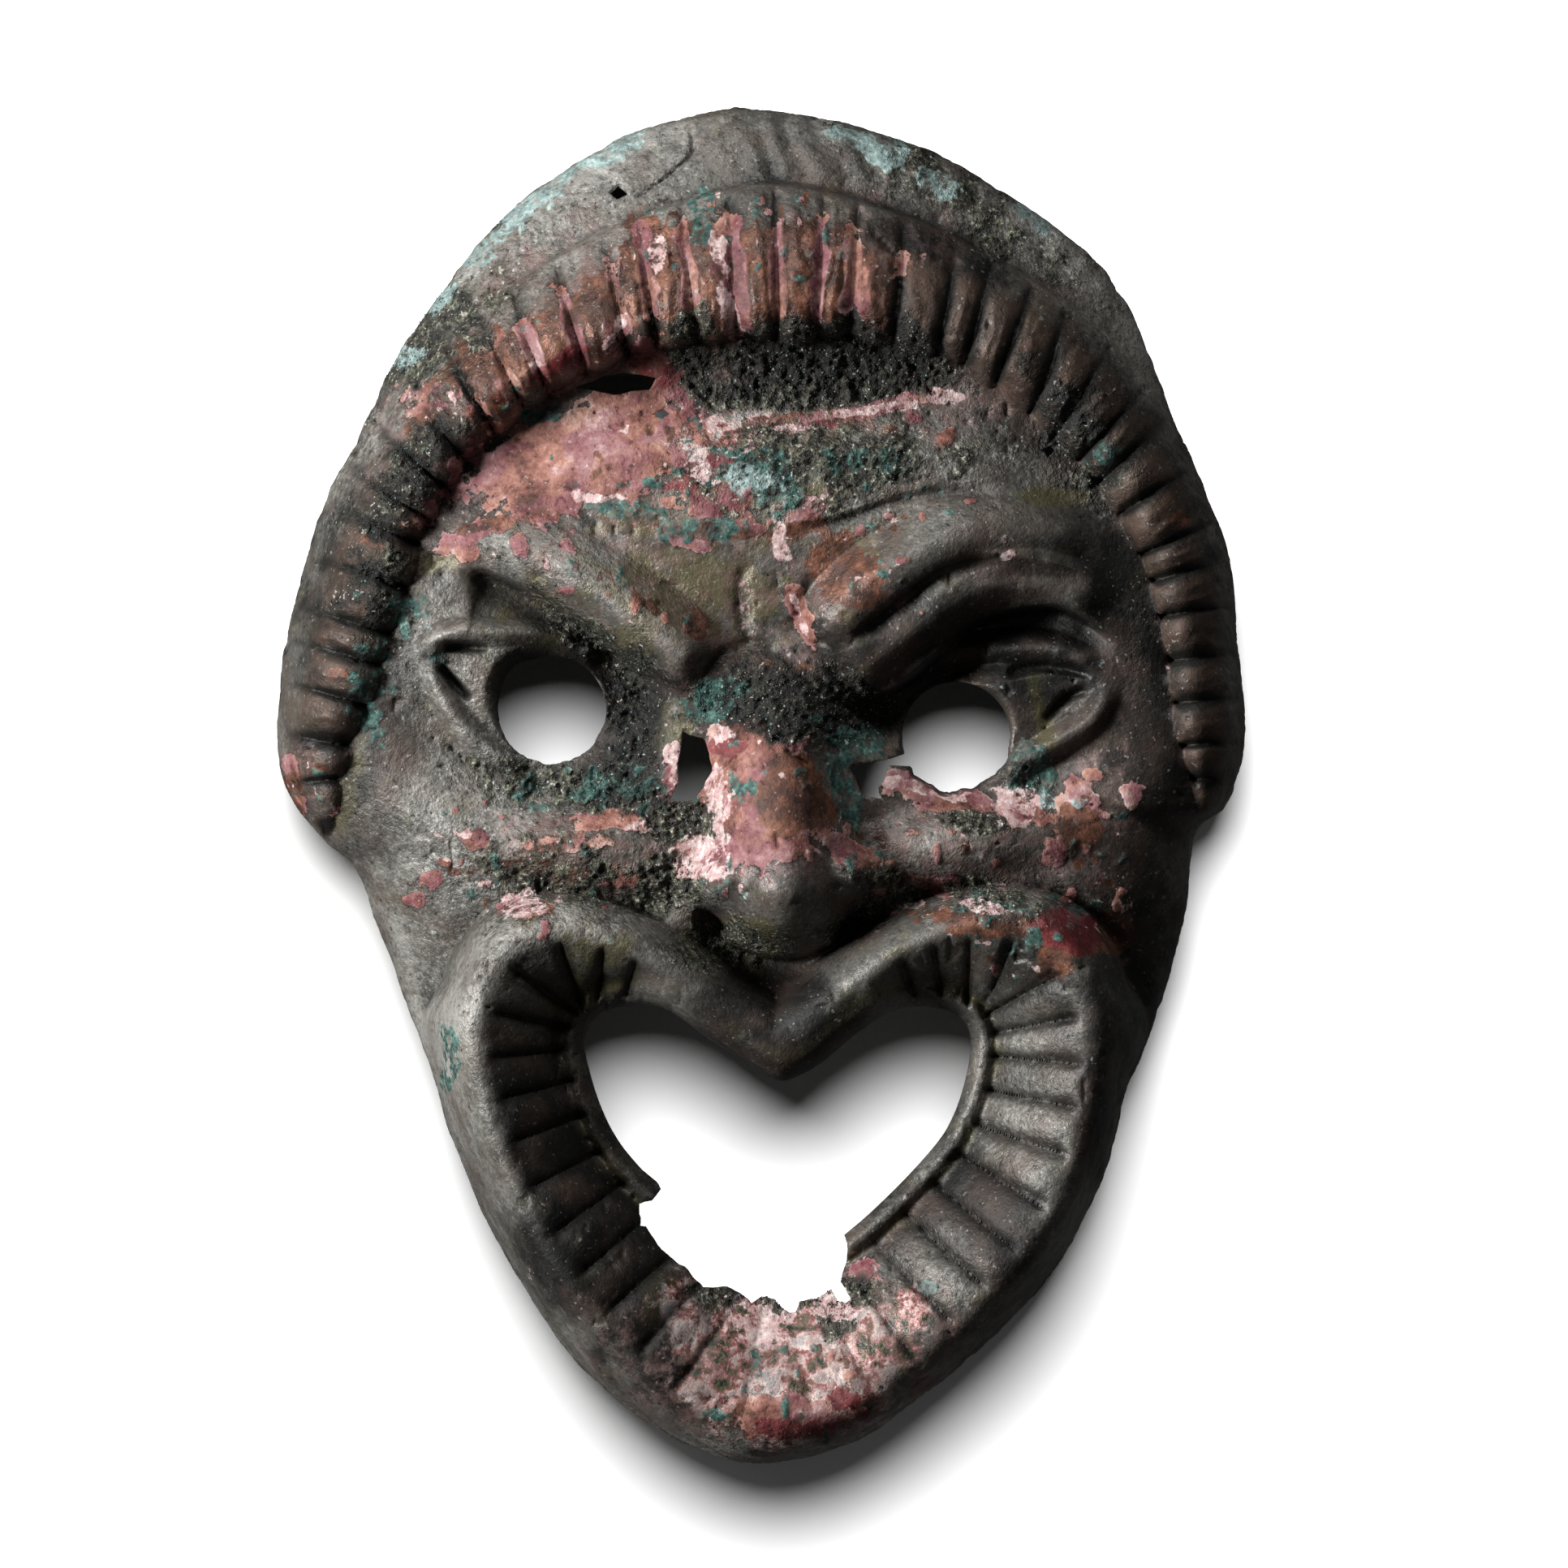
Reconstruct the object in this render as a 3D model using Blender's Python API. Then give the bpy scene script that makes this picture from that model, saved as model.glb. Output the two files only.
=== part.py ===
import bpy
import bmesh
import numpy as np

# A bronze comic theatre mask, cast in one piece and hollow behind, lying face up on its rim.
# +X is to the right as the face is seen, +Y runs up to the crown and +Z comes out of the face.
# The rim lies in the plane z = 0, and the origin is the middle of the mask's box there.

# Driving sizes, in metres.
MASK_HEIGHT = 0.240
WALL = 0.0030
BROW_HEIGHT = 0.0500
MOUTH_DOME_HEIGHT = 0.0400
RIM_INSET = 0.0015
JAW_INSET = 0.0050
LOCK_PITCH = 0.0075
LOCK_DEPTH = 0.0032
FLUTE_PITCH_AT_CORNERS = 0.0054
FLUTE_PITCH_BELOW = 0.0078
FLUTE_DEPTH = 0.0030
MOUTH_LEVEL = 0.0410
LIP_HEIGHT = 0.0600
MOUTH_RING_WIDTH = 0.0034
MOUTH_RING_RISE = 0.0022
EYE_HOLE_RADIUS = 0.0095
EYE_HOLE_FLARE = 0.0012

# The free form is drawn in thousandths of the mask's height, called shares here.
SHARE = MASK_HEIGHT / 1000

# Fullness of the dome across and upwards, and how late its edge turns down.
DOME_ACROSS = 2.6
DOME_UPWARDS = 2.2
EDGE_TURN = 24

# Of the roll's width: how far its top leans forward at the middle and back at the ears.
ROLL_LEAN = 0.55
EAR_LEAN = 0.20
# Height of the roll's back wall at the middle, of the roll's own height.
ROLL_BACK = 0.45
# The locks' slant beside the middle, and their wander as height, waves and start.
LOCK_SLANT = 1.2
LOCK_WANDER = [(3.3, 0.05, 0), (2.1, 0.127, 1)]

# How far the lip's crest dips at the middle of the upper lip and of the chin.
LIP_DIP = 0.10
# Length in shares over which the lip's outer side blends into the face.
LIP_BLEND = 16
# Direction and half width, in degrees, of the chin where corrosion has eaten the flutes, and how far.
WORN_CHIN = (3, 34, 0.8)
# How unevenly deep the flutes' lobes lie, as a share of the flutes' depth.
FLUTE_UNEVEN = 0.12

# The face seen from the front, clockwise from the top.
OUTLINE = [
    (-19, 499), (37, 492), (84, 481), (127, 466), (175, 438), (223, 407), (253, 379), (279, 335),
    (303, 273), (329, 214), (345, 166), (351, 106), (357, 52), (353, 13), (342, -16), (323, -31),
    (317, -55), (312, -97), (299, -148), (281, -199), (270, -222), (262, -258), (249, -296), (215, -359),
    (160, -416), (92, -470), (58, -487), (21, -498), (-22, -497), (-78, -473), (-138, -422), (-184, -353),
    (-221, -279), (-249, -193), (-282, -106), (-298, -63), (-324, -39), (-351, 1), (-356, 46),
    (-351, 100), (-339, 151), (-321, 209), (-294, 261), (-271, 310), (-247, 347), (-194, 414),
    (-149, 449), (-104, 476), (-66, 489)]

# Height of the widest line above the rim, by direction in degrees from +X.
SHOULDER = [(-180, 92), (-150, 84), (-120, 90), (-90, 108), (-60, 90), (-30, 84), (0, 92),
            (30, 100), (60, 108), (90, 112), (120, 108), (150, 100), (180, 92)]

# The roll of hair from the left ear over the brow to the right ear: place, half width and height.
ROLL = [
    (-324, -27, 14, 13), (-329, 22, 29, 25), (-315, 82, 37, 31), (-297, 142, 39, 33), (-278, 200, 38, 35),
    (-248, 252, 38, 38), (-205, 298, 42, 40), (-147, 338, 45, 44), (-81, 367, 50, 48), (7, 382, 60, 54),
    (85, 372, 51, 48), (152, 349, 44, 44), (212, 311, 44, 40), (259, 265, 41, 38), (293, 211, 36, 35),
    (316, 151, 32, 33), (325, 88, 29, 31), (330, 34, 25, 27), (332, -13, 13, 13)]

# Mounds of the face: middle, half length, half width, turn in degrees and height.
MOUNDS = {
    "forehead": (10, 196, 251, 96, 0, 12),
    "left eye socket": (-160, 44, 128, 98, 10, -34),
    "right eye socket": (172, 46, 137, 96, -8, -34),
    "left eyeball": (-172, 62, 72, 56, 0, 20),
    "right eyeball": (165, 50, 72, 52, 0, 17),
    "nose tip": (17, -86, 46, 40, 0, 16),
    "left nose wing": (-38, -72, 31, 26, 15, 27),
    "right nose wing": (76, -68, 32, 26, -18, 27),
    "left nostril": (-32, -101, 22, 12, -28, -28),
    "right nostril": (68, -103, 25, 13, 22, -38),
    "left outer cheek": (-225, -55, 90, 90, -25, 12),
    "right outer cheek": (264, -55, 90, 90, 25, 12),
    "left cheek": (-127, -50, 101, 37, -8, 21),
    "right cheek": (148, -43, 101, 37, 8, 21),
}

# Ridges and creases of the face: place, half width and height, which is below zero in a crease.
RIDGES = {
    "hollow under the roll": [
        (-225, 219, 36, -8), (-142, 270, 42, -13), (-64, 285, 42, -17), (13, 285, 48, -19),
        (91, 285, 42, -19), (157, 273, 39, -15), (234, 219, 36, -10), (270, 148, 30, -8)],
    "left brow": [
        (-234, 174, 24, 6), (-201, 176, 28, 15), (-172, 170, 32, 22), (-142, 156, 36, 28),
        (-106, 132, 37, 33), (-70, 106, 36, 35), (-34, 80, 31, 25)],
    "right brow": [
        (37, 100, 30, 19), (73, 133, 36, 27), (109, 160, 36, 29), (151, 181, 35, 27), (199, 184, 32, 23),
        (240, 172, 27, 15)],
    "right brow fold": [
        (55, 82, 21, 17), (91, 97, 23, 21), (115, 115, 24, 22), (145, 139, 24, 22), (181, 151, 23, 21),
        (222, 147, 22, 18), (258, 124, 19, 9)],
    "left crease over the lip": [
        (-57, -90, 12, -9), (-94, -90, 16, -15), (-140, -90, 16, -15), (-178, -98, 14, -13),
        (-207, -122, 14, -11), (-225, -154, 14, -8)],
    "right crease over the lip": [
        (97, -74, 12, -8), (124, -84, 16, -13), (163, -86, 16, -13), (216, -86, 16, -10),
        (246, -103, 16, -8), (267, -139, 14, -6)],
    "left upper lid": [
        (-252, 93, 9, 8), (-239, 106, 11, 13), (-221, 112, 12, 16), (-194, 112, 12, 16), (-169, 112, 12, 16),
        (-139, 105, 12, 14), (-112, 88, 12, 8)],
    "left lower lid": [(-246, 93, 10, 9), (-234, 65, 11, 13), (-218, 41, 12, 14), (-196, 22, 12, 12), (-172, 9, 12, 8)],
    "right upper lid": [
        (100, 70, 10, 8), (118, 85, 11, 12), (145, 98, 13, 16), (181, 102, 14, 17), (216, 100, 13, 15),
        (252, 84, 11, 7)],
    "right lower lid": [(259, 73, 10, 7), (240, 47, 13, 13), (216, 31, 13, 14), (194, 18, 12, 12), (172, 1, 11, 7)],
}

# The nose from its root to the lip: place, half width and height.
NOSE = [
    (12, 110, 44, 4), (11, 66, 46, 20), (10, 22, 48, 38), (12, -18, 55, 54), (15, -46, 62, 62),
    (17, -68, 64, 64), (18, -86, 60, 60), (18, -104, 48, 50), (17, -118, 34, 30), (16, -130, 20, 8)]

# Overhanging edges of the brows: width of the drop, reach of the hollow below, then places and drops.
STEPS = {
    "left brow edge": (7, 46, [
        (-226, 160, 6), (-204, 160, 14), (-178, 150, 23), (-150, 137, 28), (-122, 118, 31), (-96, 97, 33),
        (-75, 83, 30), (-52, 66, 22)]),
    "right brow band edge": (6, 21, [
        (55, 100, 4), (73, 119, 7), (102, 141, 9), (128, 160, 10), (163, 170, 10), (198, 166, 9),
        (233, 157, 7), (256, 143, 4)]),
    "right brow edge": (7, 46, [
        (49, 63, 16), (67, 66, 22), (93, 71, 28), (128, 98, 32), (147, 116, 33), (172, 127, 33),
        (207, 133, 30), (233, 129, 22), (270, 100, 10)]),
    "nose edge": (5, 24, [
        (-54, -90, 6), (-34, -104, 14), (-8, -118, 18), (17, -124, 20), (40, -118, 18), (66, -106, 14),
        (92, -86, 6)]),
}

# Incised lines: place, half width and depth.
LINES = {
    "left upper lid line": [(-234, 102, 5, -7), (-216, 101, 6, -9), (-198, 101, 5, -6)],
    "left lower lid line": [(-236, 88, 5, -6), (-225, 75, 6, -9), (-211, 62, 5, -6)],
    "right upper lid line": [(178, 81, 6, -7), (204, 86, 6, -9), (228, 85, 6, -8), (245, 80, 5, -5)],
    "right lower lid line": [(207, 46, 5, -6), (223, 63, 6, -8), (240, 71, 5, -6)],
    "right forehead line": [
        (22, 184, 5, -3), (58, 193, 5, -5), (105, 209, 5, -4), (138, 213, 5, -3), (216, 207, 5, -2)],
    "left forehead line": [(-222, 196, 5, -2), (-194, 209, 5, -3), (-162, 215, 5, -3), (-130, 213, 5, -3)],
    "left frown line": [(-15, 160, 7, -2), (-13, 130, 9, -4), (-11, 108, 7, -3)],
    "right frown line": [(39, 155, 7, -2), (32, 133, 9, -4), (23, 108, 7, -3)],
    "bridge fold": [(-50, 76, 7, -3), (-30, 92, 8, -4), (-11, 102, 8, -4), (10, 95, 8, -4), (31, 82, 7, -3)],
}

# The trumpet mouth, clockwise from the middle of the upper lip: its crest and its opening.
CREST = [
    (13, -191), (64, -151), (91, -129), (120, -113), (149, -104), (178, -102), (207, -109), (228, -130),
    (240, -160), (245, -193), (242, -236), (234, -279), (218, -318), (197, -349), (173, -379),
    (149, -406), (118, -436), (85, -459), (52, -476), (16, -484), (-19, -479), (-49, -466), (-77, -444),
    (-103, -416), (-127, -385), (-148, -355), (-166, -325), (-181, -292), (-193, -258), (-201, -225),
    (-206, -193), (-204, -164), (-194, -133), (-172, -112), (-138, -107), (-103, -117), (-73, -133),
    (-43, -156), (-13, -176)]
OPENING = [
    (12, -216), (29, -212), (46, -202), (66, -185), (83, -173), (98, -165), (115, -162), (132, -164),
    (146, -170), (153, -182), (153, -199), (149, -219), (141, -242), (129, -262), (98, -296), (61, -329),
    (28, -345), (-4, -348), (-34, -333), (-58, -312), (-92, -276), (-107, -256), (-118, -233),
    (-126, -207), (-129, -190), (-125, -176), (-115, -166), (-101, -162), (-84, -161), (-70, -164),
    (-55, -173), (-38, -186), (-12, -202)]

# Where the lower lip is broken away: from the end of the ring on the right to that on the left.
BREAK = [
    (61, -329), (64, -340), (62, -353), (58, -363), (66, -375), (63, -379), (56, -378), (52, -369),
    (40, -375), (28, -378), (26, -385), (19, -384), (11, -377), (0, -375), (-6, -379), (-15, -372),
    (-27, -367), (-42, -367), (-56, -353), (-65, -346), (-75, -337), (-84, -323), (-88, -322),
    (-89, -306), (-80, -304), (-74, -296), (-78, -289)]

# How far the lip's outer side runs out before it meets the cheek, and over the upper lip.
LIP_SKIRT = 60.0
LIP_SKIRT_ABOVE = 36.0

# Places of the eye holes and the outlines of the holes that corrosion has opened.
EYES = {"left": (-153, 55), "right": (143, 36)}
EYE_HOLE_DRIFT = {"left": (-5, 5), "right": (2, 2)}
LOSSES = {
    "nose_bridge_hole": [
        (-57, 39), (-42, 34), (-37, 23), (-36, 10), (-42, -2), (-49, -10), (-57, -12), (-66, -10),
        (-61, 0), (-61, 15), (-58, 33)],
    "eye_notch": [
        (65, 14), (96, 20), (108, 24), (110, 14), (95, 15), (90, 3), (86, -2), (88, -10), (74, -9), (70, 5)],
    "roll_slot": [(-135, 291), (-115, 300), (-98, 302), (-77, 298), (-81, 290), (-106, 286)],
    "forehead_hole": [(-79, 272), (-72, 276), (-66, 272), (-72, 268)],
    "temple_hole": [(207, 246), (211, 249), (215, 245), (210, 240)],
    "crown_hole": [(-111, 434), (-105, 439), (-98, 433), (-105, 429)],
}

# Fineness of the faceted solid.
GRID = 230
GRID_BEND = 0.8
TABLE_STEP = 3.0
OUTER_FACES = 6400
CORE_FACES = 1500
EYE_HOLE_SIDES = 40

# In shares: how far the shell runs below the rim before it is cut, and a height over all of it.
SKIRT = 30
OVER_ALL = 400


def smooth_path(points, closed=False, steps=6):
    # A smooth curve through the points; further columns are carried along.
    p = np.asarray(points, float)
    if closed:
        before, here, there, after = (np.roll(p, k, 0) for k in (1, 0, -1, -2))
    else:
        longer = np.vstack([2 * p[0] - p[1], p, 2 * p[-1] - p[-2]])
        before, here, there, after = longer[:-3], longer[1:-2], longer[2:-1], longer[3:]
    pieces = []
    for t in np.arange(steps) / steps:
        cubic = 3 * here + after - before - 3 * there
        square = 2 * before - 5 * here + 4 * there - after
        pieces.append(here + 0.5 * ((there - before) * t + square * t ** 2 + cubic * t ** 3))
    curve = np.stack(pieces, 1).reshape(-1, p.shape[1])
    return np.vstack([curve, curve[:1] if closed else p[-1:]])


def nearest(path, x, y, reach=1000.0):
    # Distance to the path, above zero on its left, the length run to there, and its further columns.
    far = np.full(x.shape, 1000.0)
    run = np.zeros(x.shape)
    more = np.ones((path.shape[1] - 2,) + x.shape)
    start, step = path[:-1], np.diff(path, axis=0)
    length = np.hypot(step[:, 0], step[:, 1]) + 1e-9
    before = np.concatenate([[0], np.cumsum(length)])
    near_x = (x > path[:, 0].min() - reach) & (x < path[:, 0].max() + reach)
    near_y = (y > path[:, 1].min() - reach) & (y < path[:, 1].max() + reach)
    close = np.flatnonzero(near_x & near_y)
    for first in range(0, close.size, 20000):
        i = close[first:first + 20000]
        dx = x[i, None] - start[:, 0]
        dy = y[i, None] - start[:, 1]
        t = np.clip((dx * step[:, 0] + dy * step[:, 1]) / length ** 2, 0, 1)
        gap = np.hypot(dx - t * step[:, 0], dy - t * step[:, 1])
        j = gap.argmin(1)
        row = np.arange(i.size)
        left = step[j, 0] * dy[row, j] - step[j, 1] * dx[row, j] >= 0
        far[i] = np.where(left, gap[row, j], -gap[row, j])
        run[i] = before[j] + t[row, j] * length[j]
        more[:, i] = (start[j, 2:] + t[row, j, None] * step[j, 2:]).T
    return far, run, more, before[-1]


def inside(path, x, y):
    # Whether each point lies within a closed path.
    within = np.zeros(x.shape, bool)
    for (x0, y0), (x1, y1) in zip(path[:-1, :2], path[1:, :2]):
        if y0 != y1:
            within ^= ((y0 > y) != (y1 > y)) & (x < (x1 - x0) * (y - y0) / (y1 - y0) + x0)
    return within


def ease(t):
    t = np.clip(t, 0, 1)
    return t * t * (3 - 2 * t)


def bell(t):
    # One at zero, nought from one on, smooth between.
    return (1 - np.clip(t * t, 0, 1)) ** 2


def blend_max(a, b, width):
    share = np.clip(0.5 + 0.5 * (a - b) / width, 0, 1)
    return b + (a - b) * share + width * share * (1 - share)


def by_direction(path):
    angle = np.arctan2(path[:-1, 1], path[:-1, 0])
    order = np.argsort(angle)
    return angle[order], np.hypot(path[order, 0], path[order, 1])


OUTLINE_ANGLES, OUTLINE_RADII = by_direction(smooth_path(OUTLINE, closed=True))


def outline_radius(angle):
    return np.interp(angle, OUTLINE_ANGLES, OUTLINE_RADII, period=2 * np.pi)


def rim_radius(angle):
    # The rim is smoother than the outline and lies inside it, most of all under the jaw.
    turns = np.radians(np.arange(-15, 16, 3))
    mean = sum(outline_radius(angle + turn) for turn in turns) / len(turns)
    jaw = bell((np.degrees(angle) + 90) / 80)
    inset = RIM_INSET + (JAW_INSET - RIM_INSET) * jaw
    return np.minimum(mean, outline_radius(angle)) - inset / SHARE


def shoulder(angle):
    table = np.array(SHOULDER, float)
    return np.interp(np.degrees(angle), table[:, 0], table[:, 1])


def hair_roll(x, y):
    # The rolled hair, as a body and the grooves between its locks.
    far, run, (half, tall), total = nearest(smooth_path(ROLL), x, y, 80)
    across = -far / half
    middle = 2 * run / total - 1
    lean = ROLL_LEAN * bell(middle / 0.85) - EAR_LEAN
    back = ROLL_BACK * bell(middle / 0.6)
    slant = -LOCK_SLANT * middle * bell(middle / 0.75)
    pitch = LOCK_PITCH / SHARE
    wander = sum(size * np.sin(run * waves + start) for size, waves, start in LOCK_WANDER)
    lock = (run + slant * across * half + wander) / pitch
    rounded = np.sqrt(1 - (2 * (lock % 1) - 1) ** 2)
    end = 1 - 0.13 * (1 - rounded) + 0.05 * np.sin(np.floor(lock) * 2.4)
    uphill = 1 - np.clip((lean - across) / (1 + lean), 0, 1) ** 2
    downhill = 1 - np.clip((across - lean) / (end - lean), 0, 1) ** 3
    rise = back * ease((across + 1) / 0.08) + (1 - back) * np.where(across < lean, uphill, downhill)
    on_roll = (across > -1) & (across < end)
    body = tall * rise * ease((end - across) / 0.1) * on_roll
    fade = ease((1 - np.abs(across)) / 0.25) * (0.55 + 0.45 * ease((across + 0.5) / 0.8))
    grooves = -LOCK_DEPTH / SHARE * (1 - rounded) * fade * (np.abs(across) < 1)
    return body, grooves


def mound(x, y, place):
    middle_x, middle_y, length, width, turn, height = place
    cos, sin = np.cos(np.radians(turn)), np.sin(np.radians(turn))
    along = ((x - middle_x) * cos + (y - middle_y) * sin) / length
    aside = ((y - middle_y) * cos - (x - middle_x) * sin) / width
    return height * bell(np.hypot(along, aside))


def ridge(x, y, points, fullness=1.5):
    # Soft at its foot, or rounded like a tube where the fullness is about one.
    far, run, (half, height), total = nearest(smooth_path(points), x, y, 90)
    ends = 0.15 + 0.85 * ease(np.minimum(run, total - run) / (0.12 * total))
    return height * bell(far / half) ** (fullness / 2) * ends


def drop(x, y, width, reach, points):
    # A sharp step down on the right of the path, with a hollow that rises again slowly.
    far, run, (height,), total = nearest(smooth_path(points), x, y, width + reach)
    ends = ease(np.minimum(run, total - run) / (0.15 * total))
    hollow = ease(-far / width) * bell(np.clip(-far - width, 0, None) / reach)
    return -height * ends * hollow


def face(x, y):
    height = np.zeros(x.shape)
    for place in MOUNDS.values():
        height += mound(x, y, place)
    for points in RIDGES.values():
        height += ridge(x, y, points)
    height += ridge(x, y, NOSE, fullness=1.1)
    for width, reach, points in STEPS.values():
        height += drop(x, y, width, reach, points)
    return height


def flute_count(path):
    # Flutes passed along the closed path, which are narrow at the corners and wide below.
    step = np.hypot(*np.diff(path[:, :2], axis=0).T)
    low = ease((-150 - path[1:, 1]) / 130)
    pitch = (FLUTE_PITCH_AT_CORNERS + (FLUTE_PITCH_BELOW - FLUTE_PITCH_AT_CORNERS) * low) / SHARE
    count = np.concatenate([[0], np.cumsum(step / pitch)])
    return count * round(count[-1]) / count[-1]


def trumpet(x, y, under, edge_height):
    # The wide lip: a rounded crest, a fluted funnel inside it and a ring round the opening.
    crest = smooth_path(CREST, closed=True, steps=4)
    opening = smooth_path(OPENING, closed=True, steps=4)
    facing = nearest(opening, crest[:, 0], crest[:, 1])[1]
    run_there = np.concatenate([[0], np.cumsum(np.hypot(*np.diff(opening, axis=0).T))])
    across = np.column_stack([np.interp(facing, run_there, opening[:, k]) for k in (0, 1)])
    middle = (crest + across) / 2
    from_crest = np.abs(nearest(crest, x, y, 150)[0])
    from_opening = np.abs(nearest(opening, x, y, 150)[0])
    far, run, _, total = nearest(middle, x, y, 150)
    within = inside(crest, x, y)
    funnel = within & ~inside(opening, x, y)
    level = MOUTH_LEVEL / SHARE
    share = from_opening / (from_opening + from_crest + 1e-6)
    top_middle = bell(np.minimum(run, total - run) / 190)
    bottom = bell((run - total / 2) / 200)
    top = LIP_HEIGHT / SHARE * (1 - LIP_DIP * (top_middle + bottom))
    fluted = ease((np.minimum(run, total - run) - 85) / 38)
    slope = 0.15 * share + 0.85 * np.sin(share * np.pi / 2) ** 1.3
    rolled = np.sqrt(1 - (1 - share) ** 2)
    inner = level + (top - level) * (fluted * slope + (1 - fluted) * rolled)
    width = MOUTH_RING_WIDTH / SHARE
    ring = bell((from_opening - 0.5 * width) / (0.8 * width)) * (0.4 + 0.6 * fluted)
    behind = bell((from_opening - 1.5 * width) / (0.65 * width)) * fluted
    inner += (ring - 0.45 * behind) * MOUTH_RING_RISE / SHARE
    to_edge = np.clip(outline_radius(np.arctan2(y, x)) - np.hypot(x, y), 0, 1000)
    skirt = LIP_SKIRT + (LIP_SKIRT_ABOVE - LIP_SKIRT) * ease((y + 190) / 50)
    fall = from_crest * ((from_crest + to_edge + 1) ** -4 + skirt ** -4) ** 0.25
    outer = edge_height + (top - edge_height) * np.sqrt(1 - np.clip(fall, 0, 1) ** 2.2)
    height = np.where(within, np.where(funnel, inner, level), blend_max(outer, under, LIP_BLEND))
    passed = np.concatenate([[0], np.cumsum(np.hypot(*np.diff(middle, axis=0).T))])
    count = np.interp(run, passed, flute_count(middle))
    lobe = count % 1
    angle = np.degrees(np.arctan2(x - 13, -160 - y))
    direction, half_width, worn = WORN_CHIN
    kept = fluted * (1 - worn * bell((angle - direction) / half_width))
    depth = FLUTE_DEPTH / SHARE * ease(2.6 * bell((share - 0.52) / 0.46))
    gap = 1 - np.sqrt(1 - (2 * lobe - 1) ** 2)
    uneven = FLUTE_UNEVEN * (1 + np.sin(np.floor(count) * 2.4)) * bell(2 * lobe - 1)
    flutes = -depth * (gap + uneven) * kept * funnel
    return height, flutes


def sculpt(x, y):
    # Height of the face over the rim plane, as the plain form and the fine cuts in it.
    angle = np.arctan2(y, x)
    edge_height = shoulder(angle)
    reach = np.clip(np.hypot(x, y) / outline_radius(angle), 0, 1)
    crown = (BROW_HEIGHT + (MOUTH_DOME_HEIGHT - BROW_HEIGHT) * ease(-y / 250)) / SHARE
    dome = edge_height + (crown - edge_height) * (1 - reach ** DOME_ACROSS) ** (1 / DOME_UPWARDS)
    body, grooves = hair_roll(x, y)
    form, flutes = trumpet(x, y, dome + face(x, y) + body, edge_height)
    lines = sum(ridge(x, y, points) for points in LINES.values())
    round_off = np.sqrt(1 - reach ** EDGE_TURN)
    return dome + (form - dome) * round_off, (grooves + flutes + lines) * round_off


def disc_grid(count):
    # A square grid pressed into a round one: direction and distance of each point, 0 to 1.
    side = np.linspace(-1, 1, count)
    u, v = np.meshgrid(side, side, indexing="ij")
    x = u * np.sqrt(1 - v * v / 2)
    y = v * np.sqrt(1 - u * u / 2)
    return np.arctan2(y, x), np.hypot(x, y)


def grid_faces(count):
    cell = np.arange(count * count).reshape(count, count)
    corners = (cell[:-1, :-1], cell[1:, :-1], cell[1:, 1:], cell[:-1, 1:])
    return np.stack(corners, -1).reshape(-1, 4).tolist()


def grid_border(count):
    cell = np.arange(count * count).reshape(count, count)
    return np.concatenate([cell[:-1, 0], cell[-1, :-1], cell[:0:-1, -1], cell[0, :0:-1]])


def closed_object(name, top, rings, faces_left):
    # A closed body: the grid on top, rings of points down its side, a flat bottom, then fewer faces.
    count = int(np.sqrt(len(top)))
    points = np.vstack([top] + rings) * SHARE
    faces = grid_faces(count)
    upper = grid_border(count)
    lower = len(top) + np.arange(upper.size)
    for _ in rings:
        faces += np.stack([upper, np.roll(upper, -1), np.roll(lower, -1), lower], 1)[:, ::-1].tolist()
        upper, lower = lower, lower + upper.size
    faces.append(upper[::-1].tolist())
    mesh = bpy.data.meshes.new(name)
    mesh.from_pydata(points.tolist(), [], faces)
    body = bmesh.new()
    body.from_mesh(mesh)
    bmesh.ops.triangulate(body, faces=body.faces)
    bmesh.ops.recalc_face_normals(body, faces=body.faces)
    triangles = len(body.faces)
    body.to_mesh(mesh)
    body.free()
    made = bpy.data.objects.new(name, mesh)
    bpy.context.collection.objects.link(made)
    fewer = made.modifiers.new("Fewer faces", "DECIMATE")
    fewer.ratio = faces_left / triangles
    fewer.use_collapse_triangulate = True
    return made


def outer_body():
    angle, distance = disc_grid(GRID)
    # Steps grow fine towards the edge, where the form turns down.
    late = (distance - GRID_BEND) / (1 - GRID_BEND)
    fine = GRID_BEND + (1 - GRID_BEND) * (2 * late - late ** 2)
    spread = np.where(distance < GRID_BEND, distance, fine)
    radius = spread * outline_radius(angle)
    x, y = (radius * np.cos(angle)).ravel(), (radius * np.sin(angle)).ravel()
    form, cuts = sculpt(x, y)
    top = np.column_stack([x, y, form + cuts])
    edge = grid_border(GRID)
    turn = angle.ravel()[edge]
    rings = side_rings(turn, shoulder(turn), 0, (0.25, 0.5, 0.75, 1.0))
    rings.append(rings[-1] - [0, 0, SKIRT])
    return closed_object("mask", top, rings, OUTER_FACES)


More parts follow.
